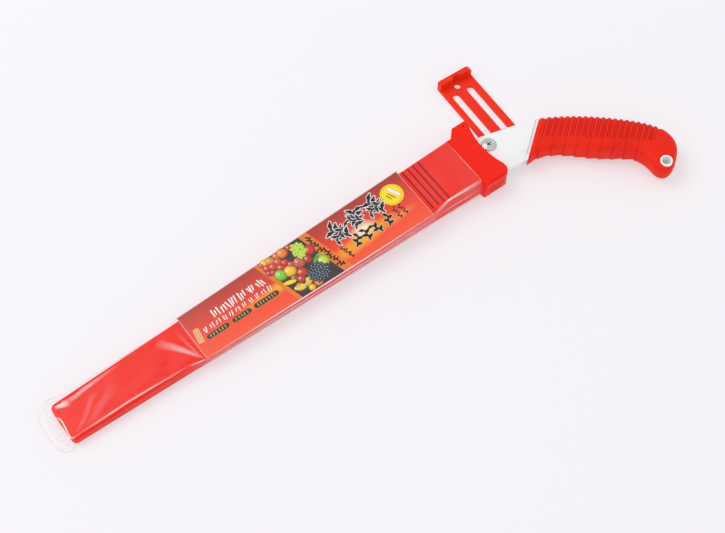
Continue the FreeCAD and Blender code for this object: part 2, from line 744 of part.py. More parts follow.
add_circle(blade_holes, ("pin_x", "pin_y"), "pin_radius")
pocket(blade, blade_holes, CUT_THROUGH, midplane=True)
blade.Placement = SAW_PLACE

# ------------------------------------------------------------------ holder, bolt, nut, pins
HOLDER_PLAN = [(11.0, 16.25), (74.6, -0.6), (44.2, -24.5), (11.0, -21.0)]
RIVETS = [(18.0, 7.0), (66.0, 7.0)]
core_low = size("core_low")
core_high = size("core_high")
core_end = size("core_end")
CORE_CORNERS = [(front_u(core_high), core_high), (core_end, core_high), (core_end, core_low),
                (front_u(core_low), core_low)]
CORE_PLAN = [grip_to_saw(*corner) for corner in CORE_CORNERS]
RIVET_RADIUS = 2.0
PIN_REACH = 3.2
NUT_DEPTH = size("nut_height") + 0.1
NUT_PLAY = 0.05


def holder_half(label, front):
    """One half of the tang holder: a flat cheek with a bevelled heel side, and its half of the core."""
    body = new_body(label)
    face = size("holder_half_thickness") * (1 if front else -1)
    cheek = new_sketch(body, "Cheek", "XY_Plane")
    add_polygon(cheek, HOLDER_PLAN)
    pad(body, cheek, "holder_half_thickness", reverse=not front)
    doc.recompute()
    start, end = HOLDER_PLAN[2], HOLDER_PLAN[3]

    def heel_edge(point):
        along_edge = (point.x - end[0]) / (start[0] - end[0])
        off_line = abs(point.y - end[1] - along_edge * (start[1] - end[1]))
        return abs(point.z - face) < TOUCH and off_line < TOUCH

    bevel = dress(body, "Chamfer", heel_edge)
    bevel.ChamferType = "Two distances"
    bind(bevel, "Size", "holder_bevel_width")
    bind(bevel, "Size2", "holder_bevel_drop")
    bevel.FlipDirection = True
    core = new_sketch(body, "Core", "XY_Plane")
    add_polygon(core, CORE_PLAN)
    pad(body, core, "core_half_thickness", reverse=not front)
    recess = new_sketch(body, "TangRecess", "XY_Plane")
    add_polygon(recess, TANG)
    pocket(body, recess, "blade_thickness / 2", reverse=front)
    bolt_hole = new_sketch(body, "BoltHole", "XY_Plane")
    add_circle(bolt_hole, ("bolt_x", "bolt_y"), BOLT_HOLE)
    for place in RIVETS:
        add_circle(bolt_hole, grip_to_saw(*place), RIVET_RADIUS)
    pocket(body, bolt_hole, CUT_THROUGH, reverse=front)
    pin_hole = new_sketch(body, "PinHole", "XY_Plane")
    add_circle(pin_hole, ("pin_x", "pin_y"), "pin_radius")
    pocket(body, pin_hole, PIN_REACH, reverse=front)
    if not front:
        seat = new_sketch(body, "NutSeat", "XY_Plane", "-1 * holder_half_thickness")
        add_polygon(seat, nut_corners(NUT_PLAY))
        pocket(body, seat, NUT_DEPTH, reverse=True)
    body.Placement = SAW_PLACE
    return body


def nut_corners(gap):
    radius = (size("nut_across_flats") / 2 + gap) / math.cos(math.pi / 6)
    return [(size("bolt_x") + radius * math.cos(corner * math.pi / 3),
             size("bolt_y") + radius * math.sin(corner * math.pi / 3)) for corner in range(6)]


holder_front = holder_half("holder_front_half", True)
holder_back = holder_half("holder_back_half", False)

bolt = new_body("blade_bolt")
bolt_profile = new_sketch(bolt, "Profile", "XZ_Plane")
base = size("holder_half_thickness")
head_radius = size("bolt_head_radius")
head_top = base + size("bolt_head_height")
RIM = 0.5
BOLT_END = -4.0
bolt_lines = [Vector(0, head_top, 0), Vector(0, BOLT_END, 0), Vector(size("bolt_radius"), BOLT_END, 0),
              Vector(size("bolt_radius"), base, 0), Vector(head_radius, base, 0),
              Vector(head_radius, base + RIM, 0)]
for start, end in zip(bolt_lines, bolt_lines[1:]):
    bolt_profile.addGeometry(Part.LineSegment(start, end), False)
DOME_POINT = (0.6, 0.72)
dome = Vector(head_radius * DOME_POINT[0], base + RIM + (head_top - base - RIM) * DOME_POINT[1], 0)
bolt_profile.addGeometry(Part.Arc(bolt_lines[-1], dome, bolt_lines[0]), False)
revolve(bolt, bolt_profile)
cross = new_sketch(bolt, "CrossRecess", "XY_Plane", head_top + TOUCH)
ARM = 2.9
SLIT = 0.65
CROSS_DEPTH = 1.5
add_polygon(cross, [(ARM, -SLIT), (ARM, SLIT), (SLIT, SLIT), (SLIT, ARM), (-SLIT, ARM), (-SLIT, SLIT),
                    (-ARM, SLIT), (-ARM, -SLIT), (-SLIT, -SLIT), (-SLIT, -ARM), (SLIT, -ARM), (SLIT, -SLIT)])
pocket(bolt, cross, CROSS_DEPTH)
bolt.Placement = SAW_PLACE.multiply(Placement(Vector(size("bolt_x"), size("bolt_y"), 0), Rotation()))

nut = new_body("blade_nut")
nut_plan = new_sketch(nut, "Plan", "XY_Plane", "-1 * holder_half_thickness + %.2f" % NUT_PLAY)
add_polygon(nut_plan, nut_corners(0))
add_circle(nut_plan, ("bolt_x", "bolt_y"), "bolt_radius")
pad(nut, nut_plan, "nut_height")
nut.Placement = SAW_PLACE

pin = cylinder("tang_pin", "pin_radius", 2 * PIN_REACH, (0, 0, 0))
pin.Placement = SAW_PLACE.multiply(Placement(Vector(size("pin_x"), size("pin_y"), -PIN_REACH), Rotation()))

rivet_parts = []
rivet_half = size("core_half_thickness")
for index, place in enumerate(RIVETS):
    x, y = grip_to_saw(*place)
    rivet_parts.append(cylinder("CoreRivet%d" % index, RIVET_RADIUS, 2 * rivet_half, (x, y, -rivet_half)))
core_rivets = doc.addObject("Part::Compound", "core_rivets")
core_rivets.Links = rivet_parts
core_rivets.Placement = SAW_PLACE

# ------------------------------------------------------------------ ring, grip and lanyard tube
FRONT_IN_SAW = GRIP_IN_SAW.multiply(Placement(Vector(), Rotation(Vector(0, 0, 1), -size("front_slant"))))
RING_FIT = 0.1


def grown(corners, gap):
    """Corners of a polygon whose sides are moved outwards by a gap."""
    points = [Vector(x, y, 0) for x, y in corners]
    outline = Part.makePolygon(points + points[:1])
    return [(vertex.X, vertex.Y) for vertex in outline.makeOffset2D(gap, 2).OrderedVertexes]


def holder_prism(name, gap, half_thickness):
    """Prism of the holder's own plan, grown by a gap, on both sides of the middle plane."""
    body = new_body(name)
    sketch = new_sketch(body, "Plan", "XY_Plane")
    add_polygon(sketch, grown(HOLDER_PLAN, gap))
    pad(body, sketch, "2 * ( %s )" % half_thickness, midplane=True)
    return body


ring_band = block("RingBand", ("ring_width", FAR, FAR),
                  (size("grip_front") - size("ring_width"), -FAR / 2, -FAR / 2))
ring_band.Placement = FRONT_IN_SAW.multiply(ring_band.Placement)
ring_blank = doc.addObject("Part::Common", "RingBlank")
ring_blank.Base = holder_prism("RingPrism", size("ring_wall"), "holder_half_thickness + ring_rise")
ring_blank.Tool = ring_band
ring = cut("grip_ring", ring_blank, holder_prism("RingSpace", RING_FIT, "holder_half_thickness"))
ring.Placement = SAW_PLACE

grip = new_body("grip")
GRIP_OUTLINE = [(22.0, 21.5), (45.0, 22.7), (69.0, 21.9), (88.0, 19.6), (97.4, 16.4), (104.4, 10.3),
                (108.3, 0.8), (107.4, -10.6), (103.6, -20.0), (98.8, -23.2), (93.9, -22.2), (89.3, -17.4),
                (84.6, -12.2), (78.4, -8.6), (70.5, -7.5), (60.5, -8.3), (47.0, -9.2), (33.5, -9.0),
                (20.0, -9.0), (10.0, -10.9), (2.0, -14.4)]
outline = new_sketch(grip, "Outline", "XY_Plane")
FRONT_ENDS = (19.2, -22.3)
front_high, front_low = [Vector(front_u(v), v, 0) for v in FRONT_ENDS]
side_curve = Part.BSplineCurve()
side_curve.interpolate([front_high] + [Vector(u, v, 0) for u, v in GRIP_OUTLINE] + [front_low])
outline.addGeometry(side_curve, False)
outline.addGeometry(Part.LineSegment(front_low, front_high), False)
pad(grip, outline, "2 * grip_half_thickness", midplane=True)
crown = new_sketch(grip, "Crown", "XZ_Plane")
CROWN_ENDS = (-12.0, 114.0)
thick = size("grip_half_thickness")
thin = size("grip_end_half_thickness")
for face in (-1, 1):
    ends = [Vector(u, face * thin, 0) for u in CROWN_ENDS]
    outer = [Vector(u, face * (thick + SPARE), 0) for u in CROWN_ENDS]
    crown.addGeometry(Part.Arc(ends[0], Vector(sum(CROWN_ENDS) / 2, face * thick, 0), ends[1]), False)
    crown.addGeometry(Part.LineSegment(ends[1], outer[1]), False)
    crown.addGeometry(Part.LineSegment(outer[1], outer[0]), False)
    crown.addGeometry(Part.LineSegment(outer[0], ends[0]), False)
pocket(grip, crown, CUT_THROUGH, midplane=True)
fillet(grip, lambda p: abs(p.z) > thin, "grip_edge_radius")
core_pocket = new_sketch(grip, "CorePocket", "XY_Plane")
add_polygon(core_pocket, CORE_CORNERS)
pocket(grip, core_pocket, "2 * core_half_thickness", midplane=True)
tube_hole = new_sketch(grip, "TubeHole", "XY_Plane")
add_circle(tube_hole, ("tube_u", "tube_v"), "tube_radius")
pocket(grip, tube_hole, CUT_THROUGH, midplane=True)
grip.Placement = SAW_PLACE.multiply(GRIP_IN_SAW)

tube_half = size("tube_half_length")
tube_place = (size("tube_u"), size("tube_v"), -tube_half)
tube = cut("lanyard_tube", cylinder("TubeOuter", "tube_radius", "2 * tube_half_length", tube_place),
           cylinder("TubeBore", "tube_bore", CUT_THROUGH, (tube_place[0], tube_place[1], -CUT_THROUGH / 2)))
tube.Placement = SAW_PLACE.multiply(GRIP_IN_SAW)

# ------------------------------------------------------------------ origin and export
PIECES = [front_shell, back_shell, collar, collar_screws, guide_front, guide_back, spring, rivet, washer,
          card, film, hanger, blade, holder_front, holder_back, bolt, nut, pin, core_rivets, ring, grip,
          tube]
doc.recompute()

for item in doc.Objects:
    if "Invalid" in item.State or "Error" in item.State:
        raise RuntimeError("%s failed: %s" % (item.Name, item.State))
box = FreeCAD.BoundBox()
for piece in PIECES:
    if piece.Shape.isNull() or not piece.Shape.isValid():
        raise RuntimeError("%s has no valid shape" % piece.Label)
    box.add(piece.Shape.optimalBoundingBox(False, False))
shift = Placement(Vector(-box.Center.x, -box.Center.y, -box.ZMin), Rotation())
os.makedirs("parts", exist_ok=True)
for piece in PIECES:
    piece.Placement = shift.multiply(piece.Placement)
doc.recompute()
for piece in PIECES:
    piece.Shape.exportStep(os.path.join("parts", piece.Label + ".step"))
print("moved by %.4f %.4f %.4f, tilt %.4f" % (shift.Base.x, shift.Base.y, shift.Base.z, TILT))
print("overall %.1f x %.1f x %.1f, %d nodes" % (box.XLength, box.YLength, box.ZLength, len(PIECES)))
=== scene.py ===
import json
import math
import random

import bmesh
import bpy
from mathutils import Matrix, Vector, noise
from mathutils.bvhtree import BVHTree


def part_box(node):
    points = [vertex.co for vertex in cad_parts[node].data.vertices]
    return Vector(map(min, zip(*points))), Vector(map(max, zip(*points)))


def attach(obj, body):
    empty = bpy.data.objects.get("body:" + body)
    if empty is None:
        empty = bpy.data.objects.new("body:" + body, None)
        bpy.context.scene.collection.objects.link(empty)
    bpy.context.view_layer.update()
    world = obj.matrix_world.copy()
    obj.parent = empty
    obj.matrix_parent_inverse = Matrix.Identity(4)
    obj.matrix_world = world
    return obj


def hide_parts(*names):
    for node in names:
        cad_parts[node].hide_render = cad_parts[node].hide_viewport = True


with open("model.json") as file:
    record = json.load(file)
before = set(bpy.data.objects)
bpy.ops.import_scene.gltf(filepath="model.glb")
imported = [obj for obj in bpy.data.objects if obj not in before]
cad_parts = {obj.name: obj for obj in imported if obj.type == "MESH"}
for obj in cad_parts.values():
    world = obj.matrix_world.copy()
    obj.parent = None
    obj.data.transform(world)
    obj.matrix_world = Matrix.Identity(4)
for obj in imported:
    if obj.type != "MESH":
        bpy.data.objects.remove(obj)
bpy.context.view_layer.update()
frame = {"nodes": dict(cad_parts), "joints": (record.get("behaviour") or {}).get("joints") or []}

MM = 0.001
NODES = frame["nodes"]

# Design axes, in millimetres: X = 0 at the sheath's mouth, +X to the handle, +Y to the hanger's lip.
SHELL_LOW, SHELL_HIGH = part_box("sheath_front_shell")
ORIGIN = Vector((SHELL_HIGH[0], (SHELL_LOW[1] + SHELL_HIGH[1]) / 2, 0))
SHELL_TOP_AT_MOUTH = 19.6
SHELL_TOP_SLOPE = 0.0325

# ------------------------------------------------------------------ camera and stage
CAMERA_AIM = Vector((1.94, -8.05, 0.0)) * MM
CAMERA_DISTANCE = 1.097
CAMERA_ELEVATION = math.radians(60.9)
CAMERA_YAW = math.radians(36.3)
CAMERA_LENS = 73.04
FLOOR_COLOUR = (0.52, 0.505, 0.52)
FLOOR_GLOW = (0.42, 0.415, 0.425)


def place(x, y, z):
    """A point in design millimetres, as metres in the frame."""
    return ORIGIN + Vector((x, y, z)) * MM


def shell_top(x):
    """Height of the shell's front face, which falls towards the tip."""
    return SHELL_TOP_AT_MOUTH + SHELL_TOP_SLOPE * x


def along(table, x):
    """Value at x in a short list of (x, value) pairs with falling x, in straight lines between them."""
    if x >= table[0][0]:
        return table[0][1]
    for (x0, v0), (x1, v1) in zip(table, table[1:]):
        if x >= x1:
            part = (x0 - x) / (x0 - x1)
            return v0 + (v1 - v0) * part
    return table[-1][1]


def new_object(name, data):
    thing = bpy.data.objects.new(name, data)
    bpy.context.scene.collection.objects.link(thing)
    return thing


def make_camera():
    """Camera at the product picture's angle; the horizontal part of its view is turned from +Y by the yaw."""
    data = bpy.data.cameras.new("camera")
    data.lens = CAMERA_LENS
    data.sensor_width = 36.0
    camera = new_object("camera", data)
    flat = Vector((math.sin(CAMERA_YAW), math.cos(CAMERA_YAW), 0)) * math.cos(CAMERA_ELEVATION)
    look = flat - Vector((0, 0, math.sin(CAMERA_ELEVATION)))
    camera.location = CAMERA_AIM - look * CAMERA_DISTANCE
    camera.rotation_euler = look.to_track_quat("-Z", "Y").to_euler()
    bpy.context.scene.camera = camera


def make_area_light(name, spot, aim, size, power):
    data = bpy.data.lights.new(name, "AREA")
    data.shape = "RECTANGLE"
    data.size, data.size_y = size
    data.energy = power
    light = new_object(name, data)
    light.location = spot
    light.rotation_euler = (Vector(aim) - Vector(spot)).to_track_quat("-Z", "Y").to_euler()


def make_stage():
    mesh = bpy.data.meshes.new("floor")
    reach = 6.0
    mesh.from_pydata([(-reach, -reach, 0), (reach, -reach, 0), (reach, reach, 0), (-reach, reach, 0)],
                     [], [(0, 1, 2, 3)])
    floor = new_object("floor", mesh)
    material = bpy.data.materials.new("floor_paper")
    material.use_nodes = True
    sockets = material.node_tree.nodes["Principled BSDF"].inputs
    for name, value in (("Base Color", (*FLOOR_COLOUR, 1)), ("Roughness", 0.8), ("Specular IOR Level", 0.1),
                        ("Emission Color", (*FLOOR_GLOW, 1)), ("Emission Strength", 1.0)):
        sockets[name].default_value = value
    mesh.materials.append(material)


def make_world():
    world = bpy.data.worlds.new("studio")
    bpy.context.scene.world = world
    world.use_nodes = True
    sockets = world.node_tree.nodes["Background"].inputs
    sockets["Color"].default_value = (0.97, 0.972, 1.0, 1)
    sockets["Strength"].default_value = 0.82


# ------------------------------------------------------------------ materials
class Nodes:
    """A material's node tree, with short calls to add and join nodes."""

    def __init__(self, name):
        self.material = bpy.data.materials.new(name)
        self.material.use_nodes = True
        self.tree = self.material.node_tree
        self.shader = self.tree.nodes["Principled BSDF"]
        self.coords = self.tree.nodes.new("ShaderNodeTexCoord").outputs["Object"]

    def add(self, kind, inputs=None, **settings):
        node = self.tree.nodes.new(kind)
        for key, value in settings.items():
            setattr(node, key, value)
        for key, value in (inputs or {}).items():
            self.set(node.inputs[key], value)
        return node

    def set(self, socket, value):
        if isinstance(value, bpy.types.NodeSocket):
            self.tree.links.new(value, socket)
        elif isinstance(value, tuple) and len(value) == 3 and socket.type == "RGBA":
            socket.default_value = (*value, 1)
        else:
            socket.default_value = value

    def noise(self, scale, detail=2.0, coords=None):
        return self.add("ShaderNodeTexNoise", {"Vector": coords or self.coords, "Scale": scale,
                                               "Detail": detail}).outputs["Fac"]

    def maths(self, operation, *values, **settings):
        return self.add("ShaderNodeMath", dict(enumerate(values)), operation=operation, **settings).outputs[0]

    def remap(self, value, low, high, to_low, to_high):
        return self.add("ShaderNodeMapRange", {"Value": value, "From Min": low, "From Max": high,
                                               "To Min": to_low, "To Max": to_high}).outputs["Result"]

    def blend(self, factor, first, second):
        node = self.add("ShaderNodeMix", data_type="RGBA")
        self.set(node.inputs["Factor"], factor)
        self.set(node.inputs["A"], first)
        self.set(node.inputs["B"], second)
        return node.outputs["Result"]

    def finish(self, colour, roughness, shade=0.05, patch=60, grain=900, bump=0.05, bump_size=0.0001,
               coords=None):
        """Base colour with soft patches, roughness that varies a little, and a fine bump."""
        if isinstance(colour, tuple):
            darker = tuple(c * (1 - shade) for c in colour)
            lighter = tuple(min(1, c * (1 + shade)) for c in colour)
            colour = self.blend(self.remap(self.noise(patch, 3, coords), 0.3, 0.7, 0, 1), darker, lighter)
        self.set(self.shader.inputs["Base Color"], colour)
        rough = self.remap(self.noise(patch * 2.3, 2, coords), 0.3, 0.7, roughness * 0.88,
                           min(1, roughness * 1.12))
        self.set(self.shader.inputs["Roughness"], rough)
        height = self.noise(grain, 3, coords)
        node = self.add("ShaderNodeBump", {"Height": height, "Strength": bump, "Distance": bump_size})
        self.set(self.shader.inputs["Normal"], node.outputs["Normal"])

    def constant(self, name, value):
        self.shader.inputs[name].default_value = value


def plain(name, colour, roughness, metallic=0.0, specular=0.5, **more):
    nodes = Nodes(name)
    nodes.finish(colour, roughness, **more)
    nodes.constant("Metallic", metallic)
    nodes.constant("Specular IOR Level", specular)
    return nodes.material


def make_film_material():
    """Clear film: see-through from the front, whiter and glossier where it is seen at a slant.

    It lies flat on the card, so it shows least there from the front and most on the sides beside it.
    """
    nodes = Nodes("clear_film_gloss")
    slant = nodes.add("ShaderNodeLayerWeight", {"Blend": 0.5}).outputs["Facing"]
    curve = nodes.maths("POWER", slant, 1.6)
    along_x = nodes.add("ShaderNodeSeparateXYZ", {0: nodes.coords}).outputs["X"]
    shift = ORIGIN.x / MM
    start = nodes.remap(along_x, (shift - 262) * MM, (shift - 246) * MM, 0, 1)
    end = nodes.remap(along_x, (shift - 47) * MM, (shift - 42) * MM, 1, 0)
    on_card = nodes.maths("MULTIPLY", start, end)
    at_tip = nodes.remap(start, 0, 1, 0.014, 0.0)
    at_mouth = nodes.remap(end, 0, 1, 0.042, 0.0)
    front = nodes.maths("ADD", at_tip, at_mouth)
    side = nodes.remap(on_card, 0, 1, 0.06, 0.45)
    veil = nodes.maths("MULTIPLY_ADD", curve, side, front)
    patches = nodes.remap(nodes.noise(30, 3), 0.35, 0.7, 0.7, 1.3)
    alpha = nodes.maths("MULTIPLY", veil, patches, use_clamp=True)
    nodes.finish((0.86, 0.85, 0.855), 0.16, shade=0.02, bump=0.15, grain=120, bump_size=0.0004)
    nodes.set(nodes.shader.inputs["Alpha"], alpha)
    nodes.constant("Metallic", 1.0)
    return nodes.material


def make_painted_light_material():
    """Painted highlights and painted shade lines on the film's folds, hems and edges: their colour and
    strength are stored with the mesh.
    """
    nodes = Nodes("film_painted_light")
    stored = nodes.add("ShaderNodeAttribute", attribute_name="glint")
    nodes.finish(stored.outputs["Color"], 0.45, bump=0.1)
    streaks = nodes.remap(nodes.noise(140, 3), 0.3, 0.6, 0.75, 1.0)
    alpha = nodes.maths("MULTIPLY", stored.outputs["Alpha"], streaks)
    nodes.set(nodes.shader.inputs["Alpha"], alpha)
    nodes.constant("Specular IOR Level", 0.2)
    return nodes.material


CARD_END_X = -247.88
GLOWS = [  # centre along and across the card, half sizes, turn in degrees, colour, strength
    (150, -8, 32, 7.5, 5, (1.0, 0.42, 0.02), 1.0),
    (151, -2, 13, 7, 0, (1.0, 0.86, 0.6), 1.0),
    (132, -10, 15, 7, 0, (1.0, 0.35, 0.01), 0.9),
    (180, -9, 18, 4, 6, (0.95, 0.3, 0.08), 0.7),
    (62, -5, 26, 5, 0, (1.0, 0.36, 0.01), 0.9),
    (74, -3, 8, 5, 0, (1.0, 0.45, 0.01), 0.9),
]


def make_card_material():
    """Coated print: dark red at the +Y edge, orange-red towards -Y, with soft yellow glows."""
    nodes = Nodes("card_print_base")
    split = nodes.add("ShaderNodeSeparateXYZ", {0: nodes.coords})
    across = split.outputs["Y"]
    y = ORIGIN.y
    ramp = nodes.add("ShaderNodeValToRGB",
                     {0: nodes.remap(across, y + 23.7 * MM, y - 23.7 * MM, 0, 1)}).color_ramp
    stops = [(0.0, (0.40, 0.035, 0.02)), (0.12, (0.50, 0.04, 0.02)), (0.35, (0.72, 0.045, 0.018)),
             (0.62, (0.92, 0.065, 0.018)), (1.0, (0.98, 0.11, 0.035))]
    ramp.elements.remove(ramp.elements[0])
    for step, (at, colour) in enumerate(stops):
        element = ramp.elements[0] if step == 0 else ramp.elements.new(at)
        element.position = at
        element.color = (*colour, 1)
    colour = nodes.tree.nodes["Color Ramp"].outputs["Color"]
    for s, t, half_s, half_t, turn, tint, strength in GLOWS:
        centre = place(CARD_END_X + s, t, 0)
        mapping = nodes.add("ShaderNodeMapping", {"Vector": nodes.coords, "Location": tuple(centre),
                                                  "Rotation": (0, 0, math.radians(turn)),
                                                  "Scale": (half_s * MM, half_t * MM, 1)},
                            vector_type="TEXTURE")
        flat = nodes.add("ShaderNodeVectorMath", {0: mapping.outputs[0], 1: (1, 1, 0)}, operation="MULTIPLY")
        spot = nodes.add("ShaderNodeTexGradient", {0: flat.outputs[0]}, gradient_type="SPHERICAL")
        factor = nodes.remap(spot.outputs["Fac"], 0, 0.75, 0, strength)
        colour = nodes.blend(factor, colour, tint)
    nodes.finish(colour, 0.34, bump=0.03)
    nodes.constant("Specular IOR Level", 0.4)
    return nodes.material


def make_print_material():
    """Printed inks: the colour of each face is stored with it."""
    nodes = Nodes("card_inks")
    ink = nodes.add("ShaderNodeAttribute", attribute_name="ink").outputs["Color"]
    dull = nodes.blend(nodes.remap(nodes.noise(700, 2), 0.3, 0.7, 0, 0.08), ink, (0.5, 0.3, 0.2))
    nodes.finish(dull, 0.38, bump=0.03)
    nodes.constant("Specular IOR Level", 0.4)
    return nodes.material


def make_rubber_material():
    """Soft red rubber, with painted shade darkening it along the feet of its ribs."""
    nodes = Nodes("grip_red_rubber")
    stored = nodes.add("ShaderNodeAttribute", attribute_name="painted_rib_shade").outputs["Fac"]
    patches = nodes.remap(nodes.noise(50, 3), 0.3, 0.7, 0, 1)
    body = nodes.blend(patches, (0.84, 0.017, 0.005), (0.92, 0.021, 0.006))
    # Painted shade: the stored amount blends the rubber towards a deep red at the ribs' feet.
    colour = nodes.blend(nodes.remap(stored, 0.05, 0.8, 0, 0.85), body, (0.34, 0.008, 0.003))
    nodes.finish(colour, 0.5, patch=50, grain=1800, bump=0.12)
    nodes.constant("Specular IOR Level", 0.16)
    return nodes.material


def paint(material, *names):
    for name in names:
        for slot in NODES[name].material_slots:
            slot.material = material


# ------------------------------------------------------------------ making pieces
def new_piece(name, points, faces, materials, body, indexes=None, smooth=True):
    mesh = bpy.data.meshes.new(name)
    mesh.from_pydata(points, [], faces)
    for material in materials:
        mesh.materials.append(material)
    if indexes:
        mesh.polygons.foreach_set("material_index", indexes)
    mesh.polygons.foreach_set("use_smooth", [smooth] * len(mesh.polygons))
    mesh.update()
    piece = new_object(name, mesh)
    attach(piece, body)
    return piece


def loft(rings, close_ring=True, cap_start=False, cap_end=False):
    """Faces between rings of equally many points, numbered ring by ring."""
    count = len(rings[0])
    faces = []
    for r in range(len(rings) - 1):
        for i in range(count if close_ring else count - 1):
            j = (i + 1) % count
            faces.append((r * count + i, r * count + j, (r + 1) * count + j, (r + 1) * count + i))
    if cap_start:
        faces.append(tuple(reversed(range(count))))
    if cap_end:
        faces.append(tuple((len(rings) - 1) * count + i for i in range(count)))
    return [p for ring in rings for p in ring], faces


def surface_tree(thing):
    """The surface of an object, for rays to hit."""
    mesh = thing.data
    return BVHTree.FromPolygons([v.co for v in mesh.vertices], [p.vertices for p in mesh.polygons])


def strip_faces(first, pairs):
    """Faces of a strip whose points lie in that many pairs, from the point numbered first."""
    starts = range(first, first + 2 * (pairs - 1), 2)
    return [(a, a + 1, a + 3, a + 2) for a in starts]


# ------------------------------------------------------------------ grip with its ribs
GRIP_TURN = math.radians(-52.1)
TUBE_IN_GRIP = Vector((100.32, 3.04, 0)) * MM  # lanyard tube centre, in the grip's own axes
RIB_FIRST, RIB_PITCH, RIB_COUNT = 5.97, 4.514, 19
RIB_HEIGHT = 0.95
HOLE_RADIUS = 3.75
GRIP_FRONT = -1.5
SECTION_POWER = 3.6
SECTION_POINTS = 132
STATION_STEP = 0.3
END_LENGTH = 5  # the butt's last stretch, where the stations close up
SHORT_RIB_BLEND = 1.2  # half the height over which the short ribs fade into the belly


def saw_tilt():
    """The turn from the sheath's axes to those of the saw, which lies along its own slide."""
    axis = Vector(next(j for j in frame["joints"] if j["name"] == "saw_draw")["axis"])
    return Vector((1, 0, 0)).rotation_difference(axis).to_matrix().to_4x4()


def grip_matrix():
    low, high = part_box("lanyard_tube")
    centre = (Vector(low) + Vector(high)) / 2
    return (Matrix.Translation(centre) @ saw_tilt() @ Matrix.Rotation(GRIP_TURN, 4, "Z")
            @ Matrix.Translation(-TUBE_IN_GRIP))


def ease(low, high, value):
    part = min(1, max(0, (value - low) / (high - low)))
    return part * part * (3 - 2 * part)


def rib_end(p):
    """How far across the grip the short ribs reach at p; the belly lies below that."""
    return 1.2 + 0.2165 * (p - 10.9)


def rib_level(p, q):
    """0 in a valley, 1 on a rib's crest, at p along the grip and q across it."""
    k = round((p - RIB_FIRST) / RIB_PITCH)
    end = rib_end(p)
    low_part = 1 - ease(end - SHORT_RIB_BLEND, end + SHORT_RIB_BLEND, q)
    if p > RIB_FIRST + RIB_PITCH * (RIB_COUNT - 1) + 1.6:
        past_last_long = p - RIB_FIRST - RIB_PITCH * (RIB_COUNT - 2)
        past_last = p - RIB_FIRST - RIB_PITCH * (RIB_COUNT - 1)
        return max(low_part * ease(-1, 1, past_last_long), ease(0, 2.2, past_last - 2.4))
    if k < 0:
        return 0.75 * ease(-0.9, -0.1, p) * (1 - ease(1.6, 2.5, p)) + (1 - ease(-1.6, -0.7, p))
    d = p - RIB_FIRST - RIB_PITCH * k
    bar = ease(-1.6, -1.1, d) * (1 - ease(0.75, 1.75, d))
    if k % 2:
        reach = max(0.0, end + 1.5 - q) / 1.5
        narrow = math.sqrt(max(0.0, 1 - min(1, reach) ** 2)) if q < end + 1.5 else 1.0
        if q < end - 0.2:
            bar = 0
        elif narrow < 1:
            bar = ease(-1.6 * narrow - 0.1, -1.1 * narrow + 0.1, d)
            bar *= 1 - ease(0.75 * narrow, 1.75 * narrow + 0.1, d)
            bar *= ease(0, 0.25, narrow)
        back = d + RIB_PITCH + 1.2
    else:
        back = d + 1.2
    saw = max(0.0, 1 - max(0.0, back) / 6.2) * (ease(-1.6, -1.1, d) if k % 2 == 0 else 1)
    if k >= RIB_COUNT - 2:
        saw = 1.0
    return max(bar * (1 - low_part) if k % 2 == 0 else bar, (0.12 + 0.88 * saw) * low_part)


def section(half_width, half_thick, count):
    """Evenly spaced points on a superellipse with their outward normals, as (across, up, n_across, n_up)."""
    fine = []
    steps = 900
    for i in range(steps + 1):
        a = 2 * math.pi * i / steps
        c, s = math.cos(a), math.sin(a)
        fine.append((half_width * math.copysign(abs(c) ** (2 / SECTION_POWER), c),
                     half_thick * math.copysign(abs(s) ** (2 / SECTION_POWER), s)))
    lengths = [0.0]
    for (x0, y0), (x1, y1) in zip(fine, fine[1:]):
        lengths.append(lengths[-1] + math.hypot(x1 - x0, y1 - y0))
    points, at = [], 0
    for i in range(count):
        goal = lengths[-1] * i / count
        while lengths[at + 1] < goal:
            at += 1
        part = (goal - lengths[at]) / max(1e-9, lengths[at + 1] - lengths[at])
        points.append((fine[at][0] + (fine[at + 1][0] - fine[at][0]) * part,
                       fine[at][1] + (fine[at + 1][1] - fine[at][1]) * part))
    result = []
    for i, (x, y) in enumerate(points):
        (xa, ya), (xb, yb) = points[i - 1], points[(i + 1) % count]
        size = max(1e-9, math.hypot(xb - xa, yb - ya))
        result.append((x, y, (yb - ya) / size, -(xb - xa) / size))
    return result


